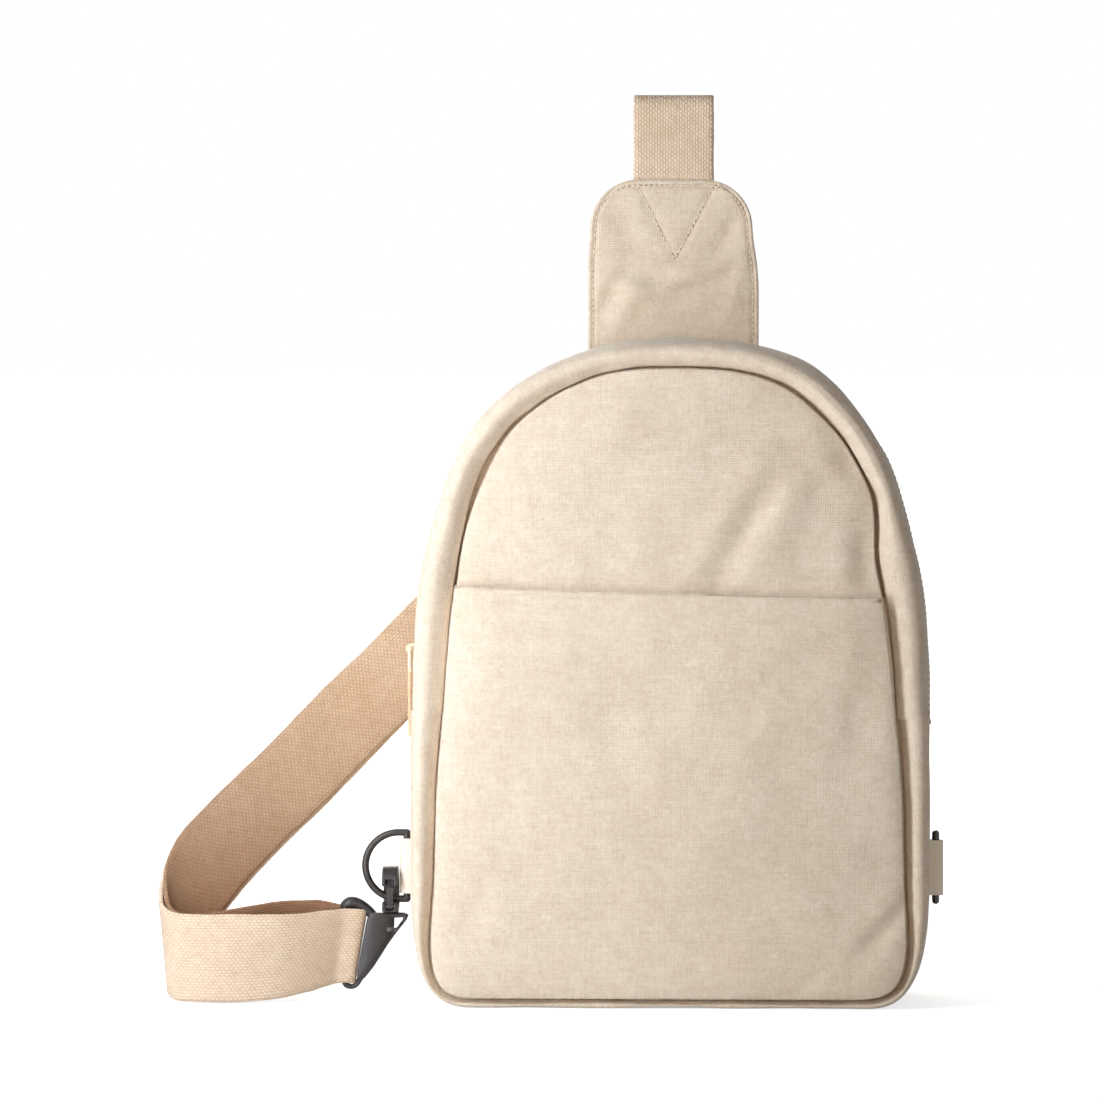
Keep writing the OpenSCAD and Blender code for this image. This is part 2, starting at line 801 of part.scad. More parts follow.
front_panel();
back_panel();
lower_gusset();
zip_gusset_front();
zip_gusset_back();
pocket_panel();
pocket_hem();
front_binding();
back_binding();
cross_seam_tapes();
zip_tape_front();
zip_tape_back();
zip_teeth_front();
zip_teeth_back();
zip_stops();
zip_end_tabs();
slider_body();
slider_bail();
pull_link();
pull_cord();
pull_end();
tab_front();
tab_back();
strap_run();
strap_return();
strap_end_loop();
strap_adjuster();
ring_loop_left();
ring_loop_right();
d_ring_left();
d_ring_right();
hook_base();
swivel_pin();
hook_body();
hook_gate();
gate_pin();
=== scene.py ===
import math

import bmesh
import bpy
import numpy as np
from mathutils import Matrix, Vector, noise


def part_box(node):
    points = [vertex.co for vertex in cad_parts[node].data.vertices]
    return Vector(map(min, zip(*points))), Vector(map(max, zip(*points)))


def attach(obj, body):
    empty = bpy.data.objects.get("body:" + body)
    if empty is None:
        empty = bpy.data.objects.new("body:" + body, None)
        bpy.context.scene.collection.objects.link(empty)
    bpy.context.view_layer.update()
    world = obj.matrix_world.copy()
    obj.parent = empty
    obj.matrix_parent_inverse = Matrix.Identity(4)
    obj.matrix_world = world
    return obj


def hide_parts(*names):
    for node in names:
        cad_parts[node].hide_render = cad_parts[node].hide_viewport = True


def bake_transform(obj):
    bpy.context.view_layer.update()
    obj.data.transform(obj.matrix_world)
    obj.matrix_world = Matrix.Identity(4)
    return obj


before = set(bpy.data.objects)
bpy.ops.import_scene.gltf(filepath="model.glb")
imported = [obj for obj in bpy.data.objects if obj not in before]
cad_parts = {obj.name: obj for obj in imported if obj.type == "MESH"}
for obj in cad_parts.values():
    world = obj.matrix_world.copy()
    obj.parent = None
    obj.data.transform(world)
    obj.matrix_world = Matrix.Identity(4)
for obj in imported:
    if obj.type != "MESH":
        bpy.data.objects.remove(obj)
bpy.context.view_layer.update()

# Lengths below are in millimetres and become metres when a mesh is made.
MM = 0.001


def node_box(name):
    """Low and high corner of a CAD node."""
    return np.array(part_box(name)) / MM


_, (HALF_W, _, _) = node_box("lower_gusset")
_, (_, HALF_D, _) = node_box("back_panel")
(_, _, SEAM_Z), (_, _, TOP_Z) = node_box("zip_gusset_front")
_, (TRACK_R, _, _) = node_box("zip_tape_front")
(_, POCKET_Y, _), (_, _, MOUTH_Z) = node_box("pocket_panel")
(_, _, TAB_LOW), (TAB_HALF, _, TAB_TOP) = node_box("tab_front")
_, (_, _, STRAP_TOP) = node_box("strap_run")


# ---- materials

def with_settings(thing, **settings):
    for key, value in settings.items():
        setattr(thing, key, value)
    return thing


class Nodes:
    """Short names for the nodes of a material or a world."""

    def __init__(self, owner):
        owner.use_nodes = True
        self.tree = owner.node_tree
        self.tree.nodes.clear()

    def put(self, socket, value):
        if isinstance(value, bpy.types.NodeSocket):
            self.tree.links.new(value, socket)
        else:
            socket.default_value = value

    def fill(self, node, **values):
        for name, value in values.items():
            self.put(node.inputs[name.replace("_", " ")], value)
        return node

    def make(self, kind, *values, **settings):
        """A node with its settings and its first inputs."""
        node = with_settings(self.tree.nodes.new("ShaderNode" + kind), **settings)
        for socket, value in zip(node.inputs, values):
            self.put(socket, value)
        return node

    def math(self, kind, a, b=0):
        return self.make("Math", a, b, operation=kind).outputs[0]

    def add(self, total, *terms):
        for term in terms:
            total = self.math("ADD", total, term)
        return total

    def mul(self, a, b):
        return self.math("MULTIPLY", a, b)

    def about(self, value, gain):
        """How far the value is from a half, times the gain."""
        return self.mul(self.math("SUBTRACT", value, 0.5), gain)

    def humps(self, value):
        """A round hump for each whole unit of the value."""
        return self.math("ABSOLUTE", self.math("SINE", self.mul(value, math.pi)))

    def odd(self, value):
        """One where a whole value is odd, zero where it is even."""
        return self.math("ABSOLUTE", self.math("MODULO", value, 2))

    def pick(self, which, a, b):
        """a where which is one, b where it is zero."""
        return self.add(self.mul(a, which), self.mul(b, self.math("SUBTRACT", 1, which)))

    def coords(self):
        return self.make("TexCoord").outputs["Object"]

    def weave_uv(self):
        return self.split(self.make("UVMap", uv_map="weave").outputs[0])

    def split(self, vector):
        return self.make("SeparateXYZ", vector).outputs

    def noise(self, vector, scale, detail=2, rough=0.5):
        node = self.fill(self.make("TexNoise"), Vector=vector, Scale=scale, Detail=detail, Roughness=rough)
        return node.outputs["Fac"]

    def spots(self, u, v, seed, scale, detail=2, rough=0.5):
        return self.noise(self.make("CombineXYZ", u, v, seed).outputs[0], scale, detail, rough)

    def streaks(self, u, v, per_u, per_v, seed, detail=2, rough=0.6):
        """Noise drawn out along the direction with fewer waves in a metre."""
        return self.spots(self.mul(u, per_u), self.mul(v, per_v), seed, 1, detail, rough)

    def mix(self, fac, a, b):
        node = self.make("Mix", data_type="RGBA")
        for socket, value in zip((0, 6, 7), (fac, a, b)):
            self.put(node.inputs[socket], value)
        return node.outputs[2]

    def remap(self, value, low, high, to_low=0, to_high=1):
        return self.make("MapRange", value, low, high, to_low, to_high).outputs[0]

    def bump(self, height, distance, strength):
        return self.fill(self.make("Bump"), Strength=strength, Distance=distance, Height=height).outputs[0]

    def seen_directly(self):
        """One for rays from the camera and for reflections, zero for the light that falls on things."""
        path = self.make("LightPath").outputs
        return self.math("MAXIMUM", path["Is Camera Ray"], path["Is Glossy Ray"])


def srgb(code):
    """Linear colour of a hexadecimal sRGB code."""
    shares = [int(code[k:k + 2], 16) / 255 for k in (0, 2, 4)]
    return (*[c / 12.92 if c <= 0.04045 else ((c + 0.055) / 1.055) ** 2.4 for c in shares], 1)


def new_material(name, *codes):
    mat = bpy.data.materials.new(name)
    n = Nodes(mat)
    shader = n.make("BsdfPrincipled")
    n.make("OutputMaterial", shader.outputs["BSDF"])
    return mat, n, shader, *map(srgb, codes)


def tinted(colour, tint):
    return (*[c * t for c, t in zip(colour, tint)], 1)


def canvas_material(name, light, dark, pitch=0.95, flat=False):
    """Plain-woven cotton canvas. The weave lies on the UV map, in metres, or flat in front view."""
    mat, n, shader, light, dark = new_material(name, light, dark)
    xyz = n.split(n.coords()) if flat else n.weave_uv()
    u, v = xyz[0], xyz[2 if flat else 1]
    wobble = n.spots(u, v, 0, 90)
    u, v = n.add(u, n.mul(wobble, 0.0012)), n.add(v, n.mul(wobble, -0.0012))
    threads = 1 / (pitch * MM)
    fu, fv = n.mul(u, threads), n.mul(v, threads)
    su, sv = n.humps(fu), n.humps(fv)
    checker = n.odd(n.add(n.math("FLOOR", fu), n.math("FLOOR", fv)))
    warp = n.mul(n.math("POWER", su, 0.6), n.add(0.55, n.mul(sv, 0.45)))
    weft = n.mul(n.math("POWER", sv, 0.6), n.add(0.55, n.mul(su, 0.45)))
    height = n.pick(checker, warp, weft)
    # Each thread has its own tone.
    tone = n.pick(checker, n.streaks(u, v, 1500, 110, 3.1), n.streaks(u, v, 110, 1500, 7.7))
    broad = n.spots(u, v, 1.3, 28, 3, 0.55)
    grain = n.spots(u, v, 5, 520, 2, 0.6)
    mottle = n.spots(u, v, 9, 170, 2, 0.6)
    fac = n.add(n.about(tone, 0.95), 0.5, n.about(broad, 0.55), n.about(mottle, 0.75), n.about(grain, 0.8))
    fac = n.add(n.mul(fac, 0.86), n.mul(height, 0.14))
    colour = n.mix(n.remap(fac, 0.12, 0.88), dark, light)
    fleck = n.streaks(u, v, 420, 900, 12, 1, 0.5)
    colour = n.mix(n.remap(fleck, 0.72, 0.8, 0, 0.55), colour, tinted(dark, (0.72, 0.72, 0.72)))
    relief = n.add(height, n.mul(grain, 0.5), n.mul(tone, 0.5))
    n.fill(shader, Base_Color=colour, Roughness=0.92, Specular_IOR_Level=0.2, Sheen_Weight=0.3,
           Sheen_Roughness=0.45, Normal=n.bump(relief, 0.00018, 0.6))
    return mat


def webbing_material(name, light, dark, low=None):
    """Ribbed cotton webbing. UV: u runs along it and v across it, in metres. low tints it with painted shade near the
    floor.
    """
    mat, n, shader, light, dark = new_material(name, light, dark)
    u, v = n.weave_uv()[:2]
    u = n.add(u, n.mul(n.spots(u, v, 0, 160), 0.0009))
    columns = n.mul(v, 1 / (1.15 * MM))
    rows = n.add(n.mul(u, 1 / (1.9 * MM)), n.mul(n.odd(n.math("FLOOR", columns)), 0.5))
    height = n.mul(n.math("POWER", n.humps(columns), 0.55), n.math("POWER", n.humps(rows), 0.5))
    thread = n.streaks(u, v, 300, 2200, 0)
    broad = n.spots(u, v, 1.3, 45, 3, 0.55)
    patchy = n.spots(u, v, 4, 260, 2, 0.6)
    fac = n.add(n.mul(height, 0.62), n.about(thread, 0.8), n.about(broad, 0.5), n.about(patchy, 0.5))
    fac = n.remap(fac, -0.05, 0.8)
    colour = n.mix(fac, dark, light)
    # Painted shade: the colour darkens by the low tint from 0.125 m down to 0.04 m above the floor.
    if low:
        painted_shade = n.remap(n.split(n.coords())[2], 0.125, 0.04)
        colour = n.mix(painted_shade, colour, n.mix(fac, tinted(dark, low), tinted(light, low)))
    relief = n.add(height, n.mul(thread, 0.25))
    n.fill(shader, Base_Color=colour, Roughness=0.85, Specular_IOR_Level=0.25, Sheen_Weight=0.1,
           Sheen_Roughness=0.5, Normal=n.bump(relief, 0.00038, 0.75))
    return mat


def thread_material(name, colour, dark):
    """Sewing thread with its twist."""
    mat, n, shader, colour, dark = new_material(name, colour, dark)
    strands = n.noise(n.coords(), 2600, 1)
    fac = n.add(n.mul(strands, 0.6), n.mul(n.noise(n.coords(), 300, 2), 0.4))
    n.fill(shader, Base_Color=n.mix(n.remap(fac, 0.3, 0.7), dark, colour), Roughness=0.6, Sheen_Weight=0.15,
           Normal=n.bump(strands, 0.0001, 0.6))
    return mat


def plastic_material(name, colour, worn, rough_low, rough_high, grain=0.00003):
    """Moulded or painted surface: fine grain, uneven polish and a little wear."""
    mat, n, shader, colour, worn = new_material(name, colour, worn)
    wear = n.noise(n.coords(), 240, 3, 0.6)
    polish = n.noise(n.coords(), 60, 2, 0.5)
    n.fill(shader, Base_Color=n.mix(n.remap(wear, 0.45, 0.75, 0, 0.35), colour, worn),
           Roughness=n.remap(polish, 0.3, 0.7, rough_low, rough_high),
           Normal=n.bump(n.noise(n.coords(), 2200), grain, 0.8))
    return mat


CANVAS = "f3e7d8", "d6c4b0"
M = {
    "front": canvas_material("canvas_front", *CANVAS, flat=True),
    "gusset": canvas_material("canvas_gusset", *CANVAS),
    "loop": canvas_material("canvas_loop", "fff9ee", "f4e6d2", pitch=0.7),
    "web": webbing_material("webbing_cotton", "f7e6d3", "d4b69a"),
    # Shaded copy of the webbing for the second ply: its darker colours, and the painted shade low down, stand in for
    # the shade inside the strap's turn.
    "web_return_shaded": webbing_material("webbing_cotton_inner_painted_shade", "e5cbb1", "be9b7c", low=(0.5, 0.4, 0.34)),
    "thread": thread_material("sewing_thread", "f6ecdc", "d6c2a8"),
    # Colour of the painted shade in the needle holes.
    "hole_shade": thread_material("needle_hole_painted_shade", "967c62", "7a624a"),
    "tape": canvas_material("zipper_tape", "ece0ce", "cebca6", pitch=0.6),
    "teeth": plastic_material("zipper_teeth", "eee3d0", "d8c8b0", 0.35, 0.5),
    "cream": plastic_material("cream_enamel", "f0e2ca", "e0caaa", 0.28, 0.45),
    "cord": thread_material("pull_cord_twist", "f3d8b8", "d4ac84"),
    "cap": plastic_material("pull_cap_white", "f4f0e8", "e4dcce", 0.25, 0.4),
    "black": plastic_material("black_acetal", "282427", "423e44", 0.3, 0.48, 0.00006),
    "wire": plastic_material("black_enamel_wire", "2c2726", "484242", 0.24, 0.4),
    "steel": plastic_material("dark_rivet", "4a484a", "6e6a68", 0.25, 0.4),
}


# ---- mesh tools

def put_in_scene(name, data):
    obj = bpy.data.objects.new(name, data)
    bpy.context.scene.collection.objects.link(obj)
    return obj


def add_mesh(name, verts, faces, mat, replaces="", uvs=None, body="bag", smooth=True, solid=False):
    """A mesh piece from points in millimetres. replaces lists CAD nodes; uvs holds metres for each vertex."""
    mesh = bpy.data.meshes.new(name)
    verts = np.asarray(verts, float).reshape(-1, 3)
    mesh.from_pydata([tuple(p) for p in verts * MM], [], [tuple(f) for f in faces])
    if solid:
        bm = bmesh.new()
        bm.from_mesh(mesh)
        bmesh.ops.recalc_face_normals(bm, faces=bm.faces)
        bm.to_mesh(mesh)
        bm.free()
    mesh.update()
    if uvs is not None:
        layer = mesh.uv_layers.new(name="weave")
        loops = np.zeros(len(mesh.loops), np.int32)
        mesh.loops.foreach_get("vertex_index", loops)
        layer.data.foreach_set("uv", uvs.reshape(-1, 2).astype(np.float32)[loops].ravel())
    if smooth:
        mesh.polygons.foreach_set("use_smooth", [True] * len(mesh.polygons))
    mesh.materials.append(mat)
    obj = put_in_scene(name, mesh)
    if body:
        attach(obj, body)
    if replaces:
        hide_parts(*replaces.split())
    return obj


def grid_faces(rows, cols, wrap_rows=False, wrap_cols=False, flip=False):
    faces = []
    for i in range(rows if wrap_rows else rows - 1):
        for j in range(cols if wrap_cols else cols - 1):
            a, b = i * cols + j, i * cols + (j + 1) % cols
            c, d = ((i + 1) % rows) * cols + (j + 1) % cols, ((i + 1) % rows) * cols + j
            faces.append((a, d, c, b) if flip else (a, b, c, d))
    return faces


def tube_faces(rows, cols, base=0):
    """Faces of a tube of rings, closed at both ends. Its points are numbered from base."""
    faces = grid_faces(rows, cols, wrap_cols=True)
    faces += [tuple(range(cols - 1, -1, -1)), tuple((rows - 1) * cols + k for k in range(cols))]
    return [tuple(base + v for v in f) for f in faces]


def strip_uv(run, across):
    """UV pairs in metres from the distances along a strip and across it."""
    return np.stack(np.broadcast_arrays(run[:, None], across), 2) * MM


def run_along(points):
    """Distance along a polyline to each of its points."""
    step = np.linalg.norm(np.diff(np.asarray(points, float), axis=0), axis=1)
    return np.concatenate([[0], np.cumsum(step)])


def resample(points, count, closed=False):
    """count points at even distances along a polyline."""
    p = np.asarray(points, float)
    if closed:
        p = np.vstack([p, p[:1]])
    run = run_along(p)
    at = np.linspace(0, run[-1], count, endpoint=not closed)
    return np.stack([np.interp(at, run, p[:, k]) for k in range(p.shape[1])], axis=1)


def spline(points, steps):
    """A Catmull-Rom curve through the points."""
    p = np.asarray(points, float)
    q = np.vstack([2 * p[0] - p[1], p, 2 * p[-1] - p[-2]])
    out = []
    for a, b, c, d in zip(q, q[1:], q[2:], q[3:]):
        for k in range(steps):
            t = k / steps
            out.append(0.5 * (2 * b + (c - a) * t + (2 * a - 5 * b + 4 * c - d) * t * t
                              + (3 * b - a - 3 * c + d) * t ** 3))
    out.append(p[-1])
    return np.array(out)


def soften(values, times):
    """Smooths the values round a closed ring."""
    v = np.asarray(values, float)
    for _ in range(times):
        v = (np.roll(v, 1, 0) + 2 * v + np.roll(v, -1, 0)) / 4
    return v


def smooth_step(t):
    t = np.clip(t, 0, 1)
    return t * t * (3 - 2 * t)


def hump(t, centre, width):
    return np.exp(-((t - centre) / width) ** 2)


def field(points, wave, seed=0):
    """Smooth noise between about -1 and 1 at each point, of that wavelength."""
    return np.array([noise.noise(Vector((p[0] / wave + seed, p[1] / wave - seed, p[2] / wave + 2 * seed)))
                     for p in np.asarray(points, float).reshape(-1, 3)])


def unit(v):
    return v / np.maximum(np.linalg.norm(v, axis=-1, keepdims=True), 1e-9)


def ring_tangent(ring):
    return unit(np.roll(ring, -1, 0) - np.roll(ring, 1, 0))


def quarter_turn(v):
    """Directions turned inwards, on a ring that runs anticlockwise."""
    return np.stack([-v[:, 1], v[:, 0]], 1)


def grid_normals(p):
    return unit(np.cross(np.gradient(p, axis=0), np.gradient(p, axis=1)))


# Shape of a stitch: (place along it, height, thickness)
STITCH = [(-0.5, -0.35, 0.45), (-0.36, 0.55, 0.9), (0, 1, 1), (0.36, 0.55, 0.9), (0.5, -0.35, 0.45)]
STITCH_GAP = 0.55


def stitch_row(name, path, out_dirs, pitch, radius=0.32, lift=0.16, hole_shade=0):
    """Stitches along a path: bowed beads of thread that dip in at both ends, and if asked, dark discs of painted shade
    at the needle holes.
    """
    path = np.asarray(path, float)
    count = max(2, int(round(run_along(path)[-1] / pitch)))
    line = resample(path, count * 6 + 1)
    dirs = resample(out_dirs, count * 6 + 1)
    verts, faces = [], []
    for i in range(count):
        a, b = line[i * 6], line[i * 6 + 6]
        span = np.linalg.norm(b - a)
        along, out = unit(b - a), dirs[i * 6 + 3]
        out = unit(out - along * np.dot(out, along))
        side = np.cross(along, out)
        faces += tube_faces(len(STITCH), 6, len(verts))
        for s, h, r in STITCH:
            c = (a + b) / 2 + along * s * (span - STITCH_GAP) + out * (lift + radius * 0.6) * h
            for t in np.arange(6) * math.pi / 3:
                verts.append(c + (math.cos(t) * side + math.sin(t) * out * 0.8) * radius * r)
    # Painted shade of the needle holes: flat dark discs just above the cloth at each stitch's end.
    if hole_shade:
        dots = []
        for i in range(0, count * 6 + 1, 6):
            out, along = unit(dirs[i]), unit(line[min(i + 1, len(line) - 1)] - line[max(i - 1, 0)])
            side = np.cross(along, out)
            dots += [line[i] + out * 0.1 + (math.cos(t) * side + 0.8 * math.sin(t) * along) * hole_shade
                     for t in np.arange(8) * math.pi / 4]
        fans = np.arange(len(dots)).reshape(-1, 8)
        add_mesh(name + "_hole_shade_dots", dots, fans, M["hole_shade"], smooth=False)
    add_mesh(name, verts, faces, M["thread"])


# ---- body outline

SIDE_Z = 120
CORNER_W, CORNER_H = 27, 60
ARCH_POWER = 2.65


def corner(sign, power):
    """One lower corner, from the floor up, and the straight side above it."""
    t = np.linspace(-math.pi / 2, 0, 80)
    x = HALF_W - CORNER_W + CORNER_W * np.abs(np.cos(t)) ** (2 / power)
    z = CORNER_H - CORNER_H * np.abs(np.sin(t)) ** (2 / power)
    points = [(0, 0)] + list(zip(x, z)) + [(HALF_W, SIDE_Z)]
    return np.array([(sign * px, pz) for px, pz in points])


def body_outline(count):
    """The body in front view, anticlockwise from the middle of the floor."""
    t = np.linspace(0, math.pi, 400)[1:-1]
    x = HALF_W * np.sign(np.cos(t)) * np.abs(np.cos(t)) ** (2 / ARCH_POWER)
    z = SIDE_Z + (TOP_Z - SIDE_Z) * np.abs(np.sin(t)) ** (2 / ARCH_POWER)
    # The crown leans a little to the right and is flatter on its left.
    z = z - 1.1 * hump(x, -48, 15)
    x = x + 2.6 * smooth_step((z - 246) / 26)
    right, left = corner(1, 3), corner(-1, 3.3)
    points = np.vstack([right, np.stack([x, z], 1), left[::-1][:-1]])
    return soften(resample(points, count, closed=True), 6)


RING = 420
OUT = body_outline(RING)
OUT_X, OUT_Z = OUT.T
TANGENT = ring_tangent(OUT)
NORMAL = -quarter_turn(TANGENT)
ARC = run_along(OUT)
# The shoulders sag in: this much at the panels and less halfway between them.
SAG_LEFT = 1.2 * hump(OUT_Z, 202, 18) + 0.6 * smooth_step((OUT_Z - 196) / 20)
SAG_RIGHT = 1.6 * hump(OUT_Z, 200, 20) + 0.5 * hump(OUT_Z, 226, 16)
SAG = np.where(OUT_X < 0, SAG_LEFT, SAG_RIGHT) * smooth_step((272 - OUT_Z) / 12)


def rim_width(*upper):
    """Width of the gusset's rolled rim in front view, by height. Both sides are alike low down."""
    low = [(0, 3.4), (6, 3.8), (14, 4.8), (24, 6.2), (34, 7.6), (50, 9.3), (86, 10), (105, 11.3), (123, 13.1),
           (150, 14.6)]
    return np.interp(OUT_Z, *zip(*low, *upper, (TOP_Z, 10.5)))


BAND = soften(np.where(
    OUT_X < 0,
    rim_width((180, 15.3), (198, 13.6), (214, 12.4), (222, 11.9), (236, 11.7), (256, 11.6), (266, 10.6)),
    rim_width((178, 15.9), (190, 15.2), (203, 11.8), (216, 9.6), (230, 10.6), (244, 10.7), (259, 12), (268, 11.2)),
), 8)
SEAM = OUT - NORMAL * (BAND + SAG)[:, None]


def near(points, x, z, size):
    """One near a place in front view, and less further from it."""
    return np.exp(-((points[..., 0] - x) ** 2 + (points[..., 1] - z) ** 2) / size ** 2)


# The groove along the panel's seam opens at the left shoulder and above the pocket's right corner.
OPENINGS = [(2.1, -77, 221, 17), (0.9, -60, 240, 26), (0.3, -88, 182, 16),
            (0.9, 84, 190, 26), (0.45, 60, 240, 40), (0.3, -4, 266, 40)]
GROOVE = soften(sum((width * near(SEAM, *place) for width, *place in OPENINGS), 0.6), 6)

# Halfway between the panels the cloth keeps to the slider's round track.
RADIUS = np.hypot(OUT_X, OUT_Z - (TOP_Z - HALF_W))
MIDDLE = np.minimum(-0.55 * SAG, (HALF_W - RADIUS) * smooth_step((OUT_Z - 176) / 22))
MIDDLE = soften(np.maximum(MIDDLE, -4.2), 4)


def around(i, out, y):
    """Place at outline point i, that far out from it and at depth y."""
    i = np.asarray(i) % RING
    rim = smooth_step(np.abs(y) / 30)
    out = out + MIDDLE[i] * (1 - rim) - SAG[i] * rim
    return np.stack([OUT_X[i] + NORMAL[i, 0] * out, y + 0 * out, OUT_Z[i] + NORMAL[i, 1] * out], -1)


def seam_depth(x, z):
    """Distance inside the panel's seam, negative outside it."""
    p = np.stack([x, z], 1)
    line = resample(SEAM, 900, closed=True)
    best = np.min([np.linalg.norm(p[:, None] - line[k:k + 100], axis=2).min(1)
                   for k in range(0, len(line), 100)], axis=0)
    inside = np.zeros(len(p), bool)
    for (x0, z0), (x1, z1) in zip(line, np.roll(line, -1, 0)):
        cross = (z0 > z) != (z1 > z)
        inside ^= cross & (x < (x1 - x0) * (z - z0) / (z1 - z0 + 1e-12) + x0)
    return np.where(inside, best, -best)


# ---- gusset

def section(i, has_slot):
    """Half of the gusset's section, from the panel's seam round to the middle: (outward, depth)."""
    width = BAND[i]
    keys = [
        (-width - 0.2, -28.5), (-width, -32), (-width + 0.15, -35.2), (-width + 0.3 + 0.15 * width, -37.4),
        (-0.66 * width, -39.2), (-0.45 * width, -40.2), (-0.2 * width, -38.8),
        (-0.05 * width, -34.8), (0, -27.5), (0.25, -18),
    ]
    slot = [(0.35, -11), (0.3, -7.6), (-0.1, -6.2), (-1.1, -5.7), (-1.9, -6.4)]
    return spline(keys + (slot if has_slot else [(0.3, -9), (0.3, 0)]), 4)


def rumple(p, near_seam, seed):
    """Hand of the cloth: broad sag, small unevenness, and puckers beside the seam."""
    flat = p.reshape(-1, 3)
    push = 0.75 * field(flat, 46, seed) + 0.35 * field(flat, 17, seed + 4)
    push += 0.6 * field(flat, 8.5, seed + 9) * near_seam.reshape(-1)
    return p + grid_normals(p) * push.reshape(p.shape[:2])[:, :, None]


FRONT, BOTH, BACK = -1, 0, 1


def gusset_piece(name, index, half, replaces, swell=0):
    """A strip of gusset over the outline points in index: its front half, its back half or both."""
    rows, edge, lengths = [], [], []
    for i in index:
        k = i % RING
        s = section(k, half != BOTH)
        mirrored = s[::-1] * (1, -1)
        parts = {FRONT: s, BACK: mirrored, BOTH: np.vstack([s, mirrored[1:]])}[half]
        parts = resample(parts, 96 if half == BOTH else 56)
        out, y = parts[:, 0] + swell, parts[:, 1]
        # Two soft pleats run round the right shoulder, where the strip turns over.
        pleat = near(OUT[k], 84, 247, 40) * (y < -20)
        dip = 0.5 * hump(out, -0.4 * BAND[k], 0.9) + 0.35 * hump(out, -0.2 * BAND[k], 0.8)
        rows.append(around(i, out - pleat * dip * 0.5, y + pleat * dip))
        lengths.append(run_along(parts))
        edge.append(np.exp(-np.abs(np.abs(y) - 36.5) / 3.5) * (parts[:, 0] < -1))
    p = rumple(np.array(rows), np.array(edge), 2 + half)
    p[:, :, 2] = np.maximum(p[:, :, 2], 0)
    run = np.array([ARC[i % RING] + (ARC[-1] if i >= RING else 0) for i in index])
    add_mesh(name, p, grid_faces(*p.shape[:2]), M["gusset"], replaces, strip_uv(run, np.array(lengths)))
    return p


right_seam, left_seam = (int(np.argmin(np.abs(OUT_Z - SEAM_Z) + (side * OUT_X < 50) * 1e3)) for side in (1, -1))
UPPER = list(range(right_seam - 1, left_seam + 2))
LOWER = list(range(left_seam, RING + right_seam + 1))
ZIP_STRIPS = {FRONT: gusset_piece("gusset_zip_front", UPPER, FRONT, "zip_gusset_front"),
              BACK: gusset_piece("gusset_zip_back", UPPER, BACK, "zip_gusset_back")}
LOW_STRIP = gusset_piece("gusset_lower", LOWER, BOTH, "lower_gusset", swell=0.45)


# ---- zipper

# The tape lies on the slider's circle, or just under the cloth where the cloth sags inside that circle.
LIE = soften(np.minimum(TRACK_R - RADIUS - MIDDLE, -2.1), 4)
# Section of a tape: (outward, depth)
TAPE = [(-1.6, -17), (-0.5, -12), (0, -9), (0, -5), (0.1, -3.6), (0.5, -3.2), (0.55, -2.6), (0.2, -2.3),
        (-0.4, -2.4), (-0.6, -5), (-0.8, -10), (-2.2, -17)]
# Rings along one turn of the coil: (depth, height, half width)
COIL = [(2.9, 0.35, 0.4), (2.3, 0.75, 0.52), (1, 0.95, 0.5), (0.2, 1, 0.56), (-0.5, 0.75, 0.6), (-0.95, 0.2, 0.4)]
COIL_PITCH = 1.45


def tape_piece(name, index, side, replaces):
    """A closed strip of tape over the outline points in index."""
    profile = np.array(TAPE) if side < 0 else (np.array(TAPE) * (1, -1))[::-1]
    grid = np.array([around(i, profile[:, 0] + LIE[i % RING], profile[:, 1]) for i in index])
    grid[:, :, 1] += 0.12 * field(grid, 14, 3 + side).reshape(grid.shape[:2])
    add_mesh(name, grid, tube_faces(*grid.shape[:2]), M["tape"], replaces,
             strip_uv(ARC[index], run_along(profile)))


def teeth_piece(name, side, replaces):
    """One row of coil: each turn is a small rounded hoop that reaches over the middle."""
    first, last = UPPER[8], UPPER[-9]
    line = [around(i, LIE[i] + 0.45, np.array(0)) for i in range(first, last + 1)]
    count = int(run_along(line)[-1] / COIL_PITCH)
    deep = LIE + MIDDLE
    verts, faces = [], []
    for where in np.linspace(first, last, count * 2 + 2)[(0 if side < 0 else 1)::2]:
        i = int(where)
        f = where - i
        o = OUT[i] * (1 - f) + OUT[i + 1] * f
        n, t = NORMAL[i], TANGENT[i]
        lie = deep[i] * (1 - f) + deep[i + 1] * f
        turn = tube_faces(len(COIL), 8, len(verts))
        faces += turn if side < 0 else [face[::-1] for face in turn]
        for y, high, half in COIL:
            for a in np.arange(8) * math.pi / 4:
                out, along = lie + high * math.sin(a) + 0.35, half * math.cos(a)
                verts.append((o[0] + n[0] * out + t[0] * along, side * y, o[1] + n[1] * out + t[1] * along))
    add_mesh(name, verts, faces, M["teeth"], replaces)


def topstitch(name, grid, y):
    """Stitches along a gusset strip where its surface lies at depth y."""
    path, dirs = [], []
    for row, lean in zip(grid, grid_normals(grid)):
        j = int(np.argmin(np.abs(row[:, 1] - y) + 5 * (np.abs(row[:, 1]) < 6)))
        out = lean[j] * (1 if lean[j] @ (row[j] - (0, row[j][1], 140)) > 0 else -1)
        path.append(row[j] - out * 0.1)
        dirs.append(out)
    stitch_row(name, path, dirs, pitch=2.7, radius=0.24, lift=0.02)


def zipper():
    run = UPPER[6:-6]
    for side, name in ((FRONT, "front"), (BACK, "back")):
        tape_piece("zip_tape_cloth_" + name, run, side, "zip_tape_" + name)
        teeth_piece("zip_coil_" + name, side, "zip_teeth_" + name)
        path = [around(i, LIE[i] + 0.12, np.array(side * 4.6)) for i in run]
        dirs = [(NORMAL[i, 0], 0, NORMAL[i, 1]) for i in run]
        stitch_row("zip_tape_stitches_" + name, path, dirs, pitch=1.9, radius=0.2, lift=0.05)
        topstitch("zip_edge_stitches_" + name, ZIP_STRIPS[side], side * 8.4)


